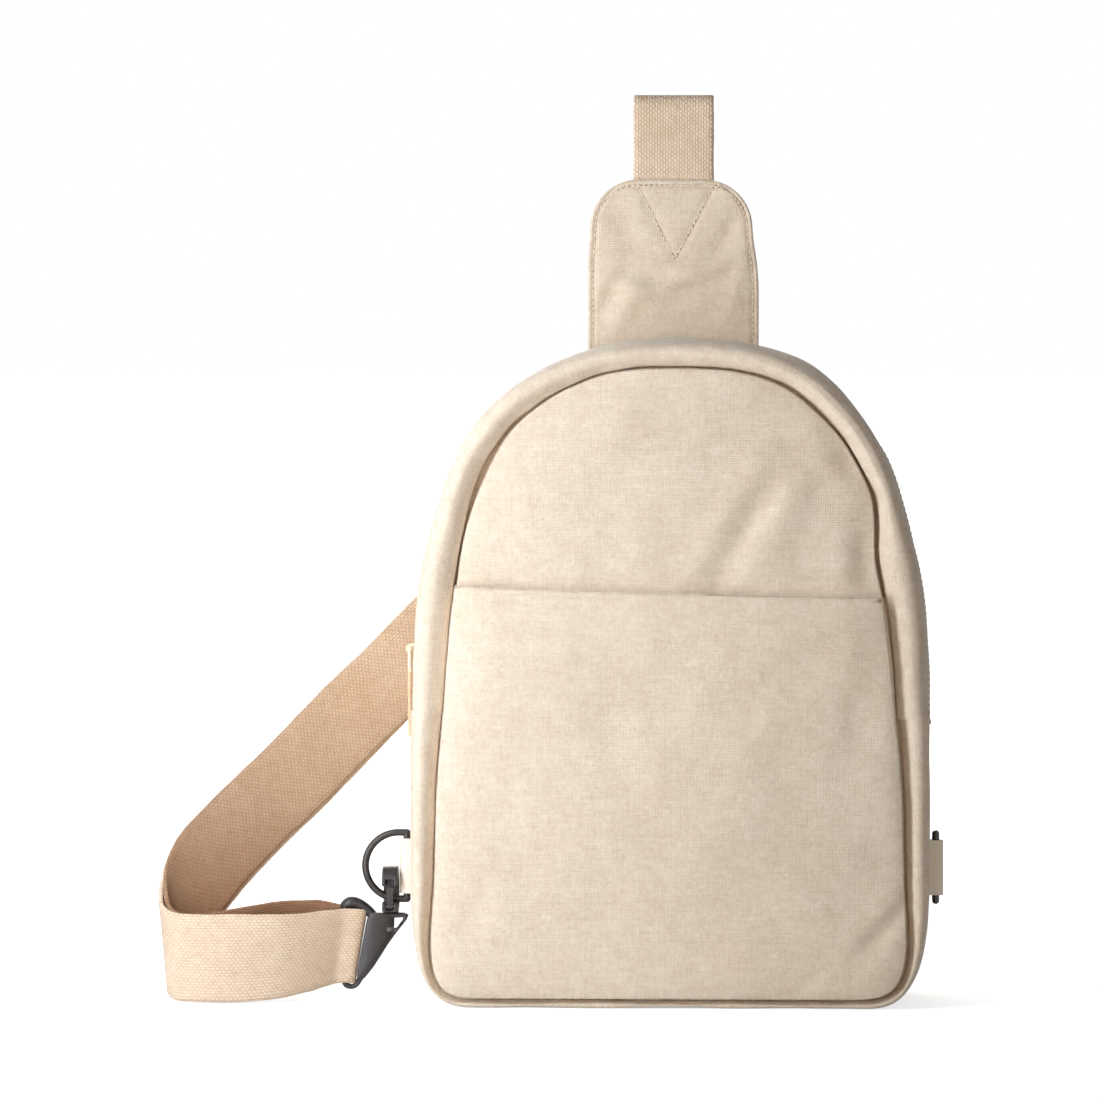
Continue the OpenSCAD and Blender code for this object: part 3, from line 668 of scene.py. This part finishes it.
def end_patch(name, sign, replaces=""):
    """Cloth folded over the tape's end, between the strips."""
    rows = []
    for z, out, half in ((117.5, -1.5, 10.5), (121, -1.3, 10.5), (128, -1.2, 10.6), (134, -1.4, 10.6),
                         (137.5, -2, 10.5), (139.6, -3, 10.4), (140.8, -4.4, 10.3), (141, -5.8, 10.2),
                         (140.2, -7, 10.2)):
        y = np.linspace(-half, half, 25)
        crown = out - 0.25 * (y / half) ** 2 + 0.1 * np.sin(y * 1.3 + z)
        rows.append(np.stack([sign * (HALF_W + crown), y, z + 0.2 * np.sin(y * 0.9)], 1))
    grid = np.stack([resample(column, 26) for column in np.array(rows).transpose(1, 0, 2)], 1)
    add_mesh(name, grid, grid_faces(*grid.shape[:2], flip=sign > 0), M["gusset"], replaces,
             grid[:, :, [2, 1]] * MM)


def cross_seam(name, row, sign):
    """Stitches where the zip strips end in the lower gusset's top seam."""
    inside = row[np.abs(row[:, 1]) < 37]
    path = inside[np.argsort(inside[:, 1])] + (sign * 0.12, 0, -2.4)
    stitch_row(name, path, [(sign, 0, 0)] * len(path), pitch=2.7)


zipper()
end_patch("zip_end_patch_left", -1, "zip_end_tabs")
end_patch("zip_end_patch_right", 1)
cross_seam("cross_seam_stitches_left", LOW_STRIP[1], -1)
cross_seam("cross_seam_stitches_right", LOW_STRIP[-2], 1)


# ---- panels

def dents(x, z, creases):
    """Soft creases: (x, z, direction in degrees, length, width, depth)."""
    total = np.zeros_like(x)
    for cx, cz, angle, length, width, depth in creases:
        a = math.radians(angle)
        along = (x - cx) * math.cos(a) + (z - cz) * math.sin(a)
        across = -(x - cx) * math.sin(a) + (z - cz) * math.cos(a)
        total += depth * np.exp(-(along / length) ** 2 - (across / width) ** 2)
    return total


def flat_field(x, z, *layers):
    """Layers of noise over places in front view: (height, wavelength, seed)."""
    flat = np.stack([x.ravel(), np.zeros(x.size), z.ravel()], 1)
    return sum(height * field(flat, wave, seed) for height, wave, seed in layers).reshape(x.shape)


CLOTH_RELIEF = 1.5


def cloth_height(x, z, seed):
    return CLOTH_RELIEF * flat_field(x, z, (0.8, 55, seed), (0.42, 21, seed + 3), (0.16, 9, seed + 5))


def gap_at(x, z):
    """Width of the seam's groove at the nearest outline point."""
    p = np.stack([x, z], 1)
    return GROOVE[np.argmin(((p[:, None] - SEAM) ** 2).sum(2), axis=1)]


def disc_points(rows, centre, inner):
    """x and z of rings of points, of more rings that shrink evenly on to the centre, and of the centre."""
    last = rows[-1]
    rows = rows + [centre + (last - centre) * (1 - k / inner) for k in range(1, inner)]
    points = np.vstack([np.array(rows).reshape(-1, 2), centre])
    return points[:, 0], points[:, 1], len(rows)


def disc_faces(count, cols, flip):
    faces = grid_faces(count, cols, wrap_cols=True, flip=flip)
    tip, base = count * cols, (count - 1) * cols
    for j in range(cols):
        a, b = base + j, base + (j + 1) % cols
        faces.append((a, tip, b) if flip else (a, b, tip))
    return faces


# Distances inside the seam at which a panel has its outer rings of points
TUCK = [-1.6, -0.8, -0.3, 0, 0.2, 0.4, 0.6, 0.8, 1, 1.2, 1.4, 1.6, 1.8, 2, 2.2, 2.45, 2.7, 3, 3.4, 4, 5,
        6.2, 7.8, 9.6, 12]
PANEL_CENTRE = np.array([0, 128])
POCKET_CENTRE = np.array([0, 92])


def edge_roll(inside, gap):
    """How far the panel's edge drops, which leaves a narrow dark groove beside the gusset."""
    return 8.5 * (1 - smooth_step((inside - gap + 0.55) / 1))


def reach(inside, distance):
    """Zero at the edge, and close to one beyond that distance inside it."""
    return 1 - np.exp(-inside / distance)


def panel_piece(name, sign, replaces, creases, seed):
    """Front panel (sign -1) or back panel (sign 1): a puffed disc of cloth inside the seam."""
    inward = quarter_turn(ring_tangent(SEAM))
    x, z, count = disc_points([SEAM + inward * d for d in TUCK], PANEL_CENTRE, 40)
    d = seam_depth(x, z)
    inside = np.clip(d, 0, None)
    gap = gap_at(x, z) if sign < 0 else 0.5
    puff, swell = (1.9, 3.2) if sign < 0 else (1.1, 0.4)
    height = HALF_D - 0.2 + puff * reach(inside, 4) + swell * reach(inside, 38)
    height += cloth_height(x, z, seed) * np.clip(inside / 14, 0, 1) + dents(x, z, creases)
    height -= edge_roll(d, gap)
    add_mesh(name, np.stack([x, sign * height, z], 1), disc_faces(count, RING, flip=sign > 0), M["front"],
             replaces)


def inner_binding(name, sign, replaces):
    """Binding over the raw edges of a seam, which stand inwards behind the panel."""
    out, depth = np.array([0.6, 0.6, 0.2, -0.5, -0.9, -0.9]), np.array([27.5, 20.5, 19.8, 19.8, 20.5, 27.5])
    grid = [around(i, out - BAND[i] - 0.4, sign * depth) for i in range(RING)]
    add_mesh(name, grid, grid_faces(RING, 6, wrap_rows=True, wrap_cols=True, flip=sign > 0), M["tape"],
             replaces, strip_uv(ARC, np.arange(6) * 2))


inner_binding("binding_cloth_front", -1, "front_binding")
inner_binding("binding_cloth_back", 1, "back_binding")
panel_piece("front_panel_cloth", -1, "front_panel", [
    (-58, 238, 40, 30, 7, -0.9), (52, 232, -42, 34, 9, -0.8), (0, 258, 0, 30, 4, -0.6), (74, 227, -52, 9, 5, -2.4),
    (81, 187, 90, 14, 5.5, -2.4), (31, 197, 59, 27, 5.5, -1.5), (20, 200, 59, 30, 6.5, 1.1), (44, 200, 62, 24, 7, 0.8),
    (60, 205, 80, 24, 8, -1.2), (28, 240, 30, 26, 9, -1.1), (-30, 232, 50, 30, 8, 0.7), (22, 200, 35, 40, 8, -0.6),
    (48, 243, 20, 22, 6, -0.6), (-20, 205, 80, 40, 12, -0.5), (0, 175.2, -1.5, 95, 2.4, -1.8),
], 1)
panel_piece("back_panel_cloth", 1, "back_panel", [
    (-40, 90, 70, 60, 12, -1), (50, 140, 100, 60, 14, -0.8), (-55, 170, 45, 50, 30, -0.8),
], 6)


def mouth_z(x):
    """Height of the pocket's mouth: lower on the right, with a slight sag."""
    return MOUTH_Z - 2.4 * x / 90 - 0.5 * np.cos(x / 90 * math.pi / 2)


def on_mouth(outer, inner):
    """Where the seam's last step, from inner to outer, meets the mouth line."""
    step = outer - inner
    return outer + step * ((mouth_z(outer[0]) - outer[1]) / step[1])


def pocket_piece():
    """Slip pocket: outer cloth, rolled mouth and the hem turned down inside."""
    below = SEAM[:, 1] < mouth_z(SEAM[:, 0])
    first = int(np.argmax(below & ~np.roll(below, 1)))
    side = [SEAM[(first + k) % RING] for k in range(int(below.sum()))]
    right, left = on_mouth(side[-1], side[-2]), on_mouth(side[0], side[1])
    top_x = right[0] + (left[0] - right[0]) * np.linspace(0, 1, 92)
    mouth = np.stack([top_x, mouth_z(top_x)], 1)
    side = resample(np.array([left] + side + [right]), 360)
    edge = np.vstack([side, mouth[1:-1]])
    is_top = np.arange(len(edge)) >= len(side)
    # Rings keep inside the seam by a distance, but start right on the mouth line.
    inward = quarter_turn(ring_tangent(edge))
    inward[is_top] = (0, -1)
    inward[0], inward[len(side) - 1] = (1, 0), (-1, 0)
    half = abs((mouth[-1, 0] - mouth[0, 0]) / -2)
    middle_z = POCKET_CENTRE[1]
    high = ~is_top & (edge[:, 1] > middle_z)
    rows = []
    for d in TUCK:
        row = edge + inward * np.where(is_top, max(d, 0) + 0.02 * (d + 1.6), d)[:, None]
        row[is_top, 0] = edge[is_top, 0] * (1 - d / half)
        row[high, 1] = middle_z + (edge[high, 1] - middle_z) * (1 - max(d, 0) / (MOUTH_Z - middle_z))
        rows.append(row)
    x, z, count = disc_points(rows, POCKET_CENTRE, 36)
    d = seam_depth(x, z)
    inside = np.clip(d, 0, None)
    height = -POCKET_Y - 3.4 + (2 * reach(inside, 4) + 3.2 * reach(inside, 34))
    height += 0.9 * hump(z, 40, 45) * hump(x, 0, 70)
    height += cloth_height(x, z, 3) * np.clip(inside / 12, 0, 1)
    height += dents(x, z, [
        (88, 32, 48, 20, 4.5, -1.7), (78, 27, 50, 22, 4.5, 1), (70, 20, 35, 20, 5, -1.2), (-70, 18, 150, 22, 6, -0.7),
        (40, 60, 60, 50, 16, -1), (-40, 110, 100, 50, 18, 0.7), (10, 130, 20, 60, 14, -0.8),
        (5, 158, -8, 40, 6, -0.8),
        (80, 120, 80, 40, 8, -1.1), (-62, 60, 110, 34, 10, -0.8), (50, 152, 25, 22, 6, 0.7), (-80, 40, 70, 16, 6, -0.9),
    ])
    gap = 0.4 + 0.35 * smooth_step((-x - 80) / 14)
    gap += smooth_step((x - 80) / 10) * (0.5 + 0.7 * smooth_step((z - 110) / 45))
    height -= edge_roll(d, gap)
    # The mouth turns in along its top edge.
    below_mouth = mouth_z(x) - z
    height += 0.85 * hump(below_mouth, 1.4, 1.6) - 0.6 * np.exp(-np.clip(below_mouth, 0, None) / 0.5)
    verts = np.stack([x, -height, z], 1)
    # Hem: from the mouth's points back and down behind the outer cloth
    rim = [len(side) - 1, *range(len(side), len(edge)), 0]
    hem = [verts[rim] + (0, dy, dz)
           for dy, dz in [(0.35, 0.3), (0.95, 0.25), (1.4, -0.3), (1.55, -1.5), (1.5, -5), (1.35, -10.5)]]
    index = np.vstack([rim, len(verts) + np.arange(len(hem) * len(rim)).reshape(len(hem), -1)])
    faces = disc_faces(count, len(edge), flip=False)
    faces += [tuple(index.flat[v] for v in f) for f in grid_faces(*index.shape)]
    add_mesh("slip_pocket_cloth", np.vstack([verts, *hem]), faces, M["front"], "pocket_panel pocket_hem")


pocket_piece()


# ---- shoulder tab

TAB_CORNER = 20.5
EDGE_STITCH = 2.3
TAB_CREASES = [
    (12, 305, 24, 26, 4, 1.4), (8, 298, 20, 24, 4, -1), (-14, 304, 168, 18, 4, -0.9),
    (-16, 297, 160, 16, 4, 0.9), (22, 320, 62, 13, 3.5, -1.3), (-27, 294, 62, 13, 3.6, -1.6),
    (-19, 291, 62, 14, 4, 1.3), (-20, 322, 118, 14, 4.5, -1), (27, 300, 75, 16, 3.6, 1),
    (4, 286, 3, 24, 3.6, -1),
]


def tab_half(z):
    """Half width of the tab at a height: straight, a little wider at its foot, with round top corners."""
    base = TAB_HALF + 0.2 + 1 * smooth_step((326 - z) / 20)
    drop = np.clip(z - (TAB_TOP - TAB_CORNER), 0, TAB_CORNER)
    return base - TAB_CORNER + np.sqrt(np.clip(TAB_CORNER ** 2 - drop * drop, 0, None))


def lean_in(z):
    """The tab's right edge stands a little further in towards the top."""
    return 1.7 * smooth_step((z - 296) / 28)


def tab_ply(name, near_y, far_y, inset, replaces, sign, seed):
    """One ply of the tab between two depths, rounded off at its rim. Gives the grid of its outer face."""
    t = np.linspace(0, 1, 70)
    z_line = TAB_LOW + (TAB_TOP - inset - TAB_LOW) * np.sin(t * math.pi / 2) ** 0.9
    us = np.sin(np.linspace(-1, 1, 61) * math.pi / 2)
    z = np.repeat(z_line[:, None], len(us), 1)
    half = (tab_half(z_line + inset) - inset)[:, None]
    x = half * us - lean_in(z) * np.clip(us, 0, 1)
    from_side, from_top = (1 - np.abs(us)) * half, TAB_TOP - inset - z
    rim = np.clip(np.minimum(from_side, from_top) / 1.3, 0, 1)
    puff = np.sqrt(np.clip(1 - (1 - rim) ** 2, 0, 1))
    wave = flat_field(x, z, (0.9, 26, seed), (0.45, 11, seed + 2)) * np.clip((z - TOP_Z + 6) / 20, 0, 1)
    wave = wave + dents(x, z, TAB_CREASES) * (1 if sign < 0 else 0.5)
    # The cloth sinks under its stitches: along the rim and under both arms of the V.
    seam = hump(np.minimum(np.abs(from_side - EDGE_STITCH), np.abs(from_top - 2.6)), 0, 0.9)
    for ax, az, bx, bz in ((-14.5, 341, 0.6, 310), (17, 341, 0.6, 310)):
        lx, lz = bx - ax, bz - az
        s = np.clip(((x - ax) * lx + (z - az) * lz) / (lx * lx + lz * lz), 0, 1)
        seam += hump(np.hypot(x - ax - s * lx, z - az - s * lz), 0, 1)
    middle, half_t = (near_y + far_y) / 2, abs(far_y - near_y) / 2
    y_out = middle + sign * half_t * puff + sign * (wave - 0.75 * np.clip(seam, 0, 1))
    y_in = middle - sign * half_t * puff + sign * wave * 0.8
    outer, inner = np.stack([x, y_out, z], 2), np.stack([x, y_in, z], 2)
    n = x.size
    faces = grid_faces(*x.shape, flip=sign > 0)
    faces += [tuple(n + v for v in f) for f in grid_faces(*x.shape, flip=sign < 0)]
    points = np.arange(n).reshape(x.shape)
    ring = [*points[0], *points[1:, -1], *points[-1, -2::-1], *points[-2:0:-1, 0]]
    for a, b in zip(ring, ring[1:] + ring[:1]):
        faces.append((a, n + a, n + b, b) if sign < 0 else (a, b, n + b, n + a))
    add_mesh(name, [outer, inner], faces, M["front"], replaces)
    return outer


TAB_Y = HALF_D
TAB_FACE = tab_ply("tab_cloth_front", TAB_Y, TAB_Y + 1.9, 0, "tab_front", -1, 11)
tab_ply("tab_cloth_back", TAB_Y + 1.9, TAB_Y + 5.2, 0.5, "tab_back", 1, 14)


def tab_stitches(name, points, count=60, pitch=2.3, hole_shade=0.42):
    """Stitches on the tab's front through places in front view, each at the depth of the nearest cloth."""
    path = []
    for x, z in resample(points, count):
        d = (TAB_FACE[:, :, 0] - x) ** 2 + (TAB_FACE[:, :, 2] - z) ** 2
        path.append((x, TAB_FACE[np.unravel_index(np.argmin(d), d.shape)][1], z))
    stitch_row(name, path, [(0, -1, 0)] * count, pitch=pitch, hole_shade=hole_shade)


def tab_edge():
    """Line of the stitches round the tab, from its left foot to its right foot."""
    left = [(EDGE_STITCH - tab_half(z), z) for z in np.linspace(TOP_Z - 1, TAB_TOP - 21, 30)]
    centre_x, r = tab_half(TAB_TOP - 21) - TAB_CORNER, TAB_CORNER - EDGE_STITCH
    left += [(-centre_x + r * math.cos(t), TAB_TOP - TAB_CORNER + r * math.sin(t))
             for t in np.radians(np.linspace(180, 90, 24))]
    return left + [(-x * (1 - lean_in(z) / tab_half(z)), z) for x, z in left[::-1]]


tab_stitches("tab_edge_stitches", tab_edge(), 240, 2.45, 0.3)
tab_stitches("tab_vee_stitches_left", [(-14.5, 340.5), (0.6, 310.5)])
tab_stitches("tab_vee_stitches_right", [(17, 340.5), (0.9, 310.5)])
tab_stitches("tab_top_stitches", [(-20.5, 341.6), (20.5, 341.6)])


# ---- webbing

STRAP_W, STRAP_T = 34, 2
FOLD_R = 4.2
WEB_Y = TAB_Y + 1.6 + STRAP_T / 2
BACK_Y = WEB_Y + 2 * FOLD_R
FOLD_Z = STRAP_TOP - FOLD_R - STRAP_T / 2
DIAG = math.radians(44)
CURVE_R = 120
CURVE_Z = TOP_Z + 27
DIAG_X = -CURVE_R * (1 - math.cos(DIAG))
DIAG_Z = CURVE_Z - CURVE_R * math.sin(DIAG)
BAR_X, BAR_Z, LEAN = -HALF_W - 27, 22, 9.5
WRAP_R = 3.3


def on_diagonal(s, y):
    return (DIAG_X - s * math.sin(DIAG), y, DIAG_Z - s * math.cos(DIAG), 46)


def beside(*stations):
    """Stations whose x is counted from the body's left side."""
    return [(-HALF_W + x, y, z, lean) for x, y, z, lean in stations]


def strap_route():
    """Stations (x, y, z, lean) of the webbing from the tab to the low part, of the low part, and round the bar."""
    tab = [(0, WEB_Y, TAB_TOP + z, 90) for z in (-40, -12, 0, 14)]
    for a in np.radians(np.arange(9) * 22.5):
        tab.append((0, WEB_Y + FOLD_R * (1 - math.cos(a)), FOLD_Z + FOLD_R * math.sin(a), 90))
    tab += [(0, BACK_Y, TAB_TOP, 90), (0, BACK_Y, CURVE_Z + 8, 90)]
    for k in range(9):
        a = DIAG * k / 8
        tab.append((-CURVE_R * (1 - math.cos(a)), BACK_Y, CURVE_Z - CURVE_R * math.sin(a), 90 - 44 * k / 8))
    low = [on_diagonal(s, BACK_Y + y) for s, y in
           ((60, 0), (108, 0), (124, -2), (139, -6), (154, -11), (169, -17), (184, -22.5))]
    low += beside((-66, 19.5, 77, 46), (-77, 13, 66, 43), (-88, 6, 54, 36), (-97, -1.5, 41, 25),
                  (-102.5, -9, 30.5, 13), (-104.2, -16, 22.8, 5), (-100, -22, 19.3, 1.5), (-91, -25, 18.8, 0),
                  (-78, -26, 18.8, 0), (-60, -22.5, 19, -1), (-49, -17, 19.6, -3), (-39, -10, 20.9, -6.5))
    low.append((BAR_X - 5, -WRAP_R - 0.8, 21.8, -LEAN))
    c, s = math.cos(math.radians(LEAN)), math.sin(math.radians(LEAN))
    wrap = [(BAR_X + WRAP_R * math.cos(a) * c, WRAP_R * math.sin(a), BAR_Z - WRAP_R * math.cos(a) * s, -LEAN)
            for a in np.radians(np.arange(-90, 91, 30))]
    return tab, spline(low, 3), wrap


def ribbon_frames(route):
    """Centre, width direction and face direction at each station of a smooth route."""
    lean = np.radians(route[:, 3])
    width = np.stack([np.sin(lean), np.zeros_like(lean), -np.cos(lean)], 1)
    return route[:, :3], width, unit(np.cross(unit(np.gradient(route[:, :3], axis=0)), width))


def drift(count, step, seed, place):
    return np.array([noise.noise(Vector((i * step + seed, place, seed))) for i in range(count)])


def ribbon(name, route, mat, replaces, body, seed):
    """Flat webbing with rounded selvedges along a route of (x, y, z, lean)."""
    route = np.asarray(route, float)
    p, w, f = ribbon_frames(resample(route, int(run_along(route[:, :3])[-1] / 1.6)))
    hw, ht = STRAP_W / 2, STRAP_T / 2
    top = [(a * (hw - ht * 0.6), ht) for a in np.linspace(-1, 1, 15)]
    right = [(hw - ht * 0.15, ht * 0.62), (hw, 0), (hw - ht * 0.15, -ht * 0.62)]
    across, up = np.array(top + right + [(a, -b) for a, b in top[::-1]] + [(-a, -b) for a, b in right]).T
    # The photograph's perspective: wider at the low turn, narrower at the hook
    x, z = p[:, 0], p[:, 2]
    swell = smooth_step((-x - 150) / 30) * 0.082 - smooth_step((x + 152) / 20) * 0.075
    swell = 1 + swell * smooth_step((70 - z) / 30)
    wave, ragged = 0.22 * drift(len(p), 0.05, seed, 0.3), 0.25 * drift(len(p), 0.21, seed, 5.3)
    selvedge = np.sign(across) * (np.abs(across) > hw * 0.9)
    grid = np.array([p[i] + np.outer(across * swell[i] + ragged[i] * selvedge, w[i])
                     + np.outer(up + wave[i] * (1 - (across / hw) ** 2), f[i]) for i in range(len(p))])
    return add_mesh(name, grid, tube_faces(*grid.shape[:2]), mat, replaces,
                    strip_uv(run_along(p), across), body)


def return_route(low_route):
    """The second ply: from the adjuster down beside the first one and back to the bar."""
    _, width, face = ribbon_frames(low_route)
    moved = low_route.copy()
    moved[:, :3] += face * (STRAP_T + 0.6)
    # It stands a little outside the other ply round the turn.
    k = np.arange(len(moved))
    moved[:, :3] -= width * (1.4 * smooth_step((40 - k) / 8) * smooth_step((k - 4) / 8))[:, None]
    bar_y = BACK_Y - STRAP_T / 2 - 0.6 - STRAP_T - 0.3 - 1.7
    tail = [tuple(moved[42])]
    tail += beside((-84, -19, 19, 0), (-70, -13, 21, 0), (-56, -2, 23.2, -1.5), (-43, 4.5, 23.6, -5))
    tail += [(BAR_X - 6, WRAP_R + 0.9, 22.4, -LEAN), (BAR_X - 0.9, WRAP_R + 0.1, BAR_Z, -LEAN)]
    head = [on_diagonal(64 + 14.3, bar_y), on_diagonal(64 + 26, bar_y + 0.3)]
    return np.vstack([head, moved[6:43], spline(tail, 3)[1:]])


TOP_PART, LOW_PART, WRAP_PART = strap_route()
ribbon("strap_webbing", np.vstack([TOP_PART, LOW_PART, WRAP_PART]), M["web"], "strap_run", "bag", 1)
return_obj = ribbon("strap_webbing_return", return_route(LOW_PART), M["web_return_shaded"], "strap_return", None, 5)
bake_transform(return_obj)


# ---- snap hook

BAR_SIDES = 20


def tube_rings(path):
    """Rings of points round a path of (x, z, radius) in the plane y = 0."""
    path = spline(path, 6)
    head = unit(np.gradient(path[:, :2], axis=0))
    a = np.arange(BAR_SIDES) * 2 * math.pi / BAR_SIDES
    return np.array([np.stack([x - hz * r * np.cos(a), r * np.sin(a), z + hx * r * np.cos(a)], 1)
                     for (x, z, r), (hx, hz) in zip(path, head)])


def polar(corners, middle, angles):
    """Distance from the middle to a closed outline at those angles."""
    x, z = (resample(corners, 600, closed=True) - middle).T
    order = np.argsort(np.arctan2(z, x))
    return np.interp(angles, np.arctan2(z, x)[order], np.hypot(x, z)[order], period=2 * math.pi)


def hook_plate():
    """Base of the snap hook: a bar in the webbing's fold and a plate beside it with a small window."""
    middle = np.array([-115.2, 32.4])
    outer = [(-126.9, 35.9), (-112.6, 35.9), (-110.4, 34.9), (-111.2, 32.8), (-116.2, 26.4), (-121.2, 19.6),
             (-125.2, 12.6), (-129.6, 6.6), (-132.6, 5), (-132.3, 8.4), (-130.4, 20), (-128, 33)]
    window = [(-116.5, 33.7), (-112.7, 33.9), (-112.8, 33), (-115.9, 28.9), (-116.6, 29.2)]
    angles = np.linspace(-math.pi, math.pi, 160, endpoint=False)
    far, close = (soften(polar(line, middle, angles), 2) for line in (outer, window))
    ray = np.stack([np.cos(angles), np.sin(angles)], 1)
    rows = [(far - 0.9, -2.5), (far - 0.35, -2.35), (far - 0.05, -1.9), (far, 1.9), (far - 0.35, 2.35),
            (far - 0.9, 2.5), (close + 0.5, 2.5), (close, 2.1), (close, -2.1), (close + 0.5, -2.5)]
    plate = np.array([np.insert(middle + ray * distance[:, None], 1, y, axis=1) for distance, y in rows])
    bar = [(BAR_X + (z - BAR_Z) * math.tan(math.radians(LEAN)), z) for z in (31, 20, 9, 6)]
    rings = tube_rings([
        (-124.6, 33.6, 1.9), (-127.6, 36.6, 2.2), (-131.6, 39.2, 2.5), (-135, 39.7, 2.8), (-137, 38, 2.4),
        (-136.2, 35.6, 1.9), (*bar[0], 1.8), (*bar[1], 1.8), (*bar[2], 1.7), (bar[3][0] + 0.2, 5.6, 1.4),
        (-134.8, 4.4, 1.1), (-132.6, 5.2, 1.1), (-130.8, 8, 1.3)])
    faces = grid_faces(*plate.shape[:2], wrap_rows=True, wrap_cols=True)
    faces += tube_faces(*rings.shape[:2], base=plate.shape[0] * plate.shape[1])
    add_mesh("hook_base_plate", np.vstack([plate.reshape(-1, 3), rings.reshape(-1, 3)]), faces, M["black"],
             "hook_base", body="hook_loop", solid=True)


hook_plate()


# ---- carried-over solids

SHARP = math.radians(35)


def dress(names, mat, bevel=0, voxel=0, passes=0):
    """Gives solids their material, and bevelled edges, or edges rounded by passes over small voxels."""
    for name in names:
        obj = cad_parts[name]
        obj.data.materials.clear()
        obj.data.materials.append(mat)
        for poly in obj.data.polygons:
            poly.use_smooth = True
        new = obj.modifiers.new
        if bevel:
            with_settings(new("bevel", "BEVEL"), width=bevel * MM, segments=2, limit_method="ANGLE",
                          angle_limit=SHARP)
        else:
            with_settings(new("split", "EDGE_SPLIT"), split_angle=SHARP)
        if voxel:
            with_settings(new("even", "REMESH"), mode="VOXEL", voxel_size=voxel * MM, use_smooth_shade=True)
            with_settings(new("smooth", "SMOOTH"), factor=0.5, iterations=passes)


dress(["zip_stops"], M["teeth"], 0.3)
dress(["slider_body", "slider_bail"], M["cream"], voxel=0.2, passes=8)
dress(["pull_link"], M["cream"])
dress(["pull_cord"], M["cord"])
dress(["pull_end"], M["cap"], voxel=0.2, passes=10)
dress(["hook_body"], M["black"], voxel=0.3, passes=12)
dress(["strap_adjuster", "hook_gate"], M["black"], 0.35)
dress(["d_ring_left", "d_ring_right"], M["wire"])
dress(["swivel_pin", "gate_pin"], M["steel"], 0.2)
dress(["cross_seam_tapes"], M["gusset"])
dress(["strap_end_loop"], M["web"])
dress(["ring_loop_left", "ring_loop_right"], M["loop"], 0.3)


# ---- stage, light and camera

FLOOR_HALF = 12
WHITE = (1, 1, 1, 1)


def floor():
    """A grey floor that takes shadows near the bag and glows to the plain white of the backdrop further off."""
    s = FLOOR_HALF
    mesh = bpy.data.meshes.new("floor")
    mesh.from_pydata([(-s, -s, 0), (s, -s, 0), (s, s, 0), (-s, s, 0)], [], [(0, 1, 2, 3)])
    obj = put_in_scene("floor", mesh)
    obj.location.z = -0.0003
    mat = bpy.data.materials.new("floor_white")
    n = Nodes(mat)
    distance = n.make("VectorMath", n.coords(), operation="LENGTH").outputs["Value"]
    away = n.remap(n.remap(distance, 0.35, 0.95), 0, 1, 0.72, 1)
    glow = n.make("Emission", WHITE, n.mul(n.seen_directly(), away))
    both = n.make("AddShader", n.make("BsdfDiffuse", (0.7, 0.7, 0.7, 1)).outputs[0], glow.outputs[0])
    n.make("OutputMaterial", both.outputs[0])
    mesh.materials.append(mat)


def backdrop():
    """White where it is seen, and a faint light from all sides."""
    world = bpy.data.worlds.new("studio")
    n = Nodes(world)
    back = n.make("Background", WHITE, n.remap(n.seen_directly(), 0, 1, 0.2, 1))
    n.make("OutputWorld", back.outputs[0])
    bpy.context.scene.world = world


def aim_at(obj, place, target):
    obj.location = place
    obj.rotation_euler = (Vector(target) - Vector(place)).to_track_quat("-Z", "Y").to_euler()


def area_light(name, place, target, size, power, colour):
    data = with_settings(bpy.data.lights.new(name, "AREA"), shape="RECTANGLE", size=size[0], size_y=size[1],
                         energy=power, color=colour)
    aim_at(put_in_scene(name, data), place, target)


floor()
backdrop()
# On the left a tall cool strip close by, a small lamp near the hook and a broad soft one; a warm fill from the
# front and a soft light on the back.
area_light("key", (-0.305, -0.335, 0.22), (0, 0, 0.22), (0.14, 0.8), 2.8, (0.95, 0.985, 1))
area_light("fill", (0.1, -2.2, 0.3), (0, 0, 0.15), (1.2, 1.2), 7.2, (1, 0.71, 0.41))
area_light("low", (-0.42, -0.33, 0.1), (-0.09, -0.03, 0.05), (0.1, 0.12), 0.15, (0.95, 1, 1.05))
area_light("side", (-1.3, 0, 0.3), (0, 0, 0.15), (0.5, 0.8), 3.4, (1, 1, 1))
area_light("behind", (-0.5, 1.6, 0.7), (0, 0, 0.2), (1.2, 1), 22, (1, 0.97, 0.93))

# The picture is this wide, in metres, at the plane of the front panel.
PICTURE_W = 0.457
SENSOR_W = 36
AIM, EYE = Vector((-0.0498, -0.03, 0.190)), Vector((0.06, -3.03, 0.33))
LENS = SENSOR_W * (EYE - AIM).length / PICTURE_W
camera = with_settings(bpy.data.cameras.new("camera"), sensor_width=SENSOR_W, lens=LENS, clip_end=50)
cam = put_in_scene("camera", camera)
aim_at(cam, EYE, AIM)
bpy.context.scene.camera = cam
bpy.context.scene.view_settings.view_transform = "Standard"
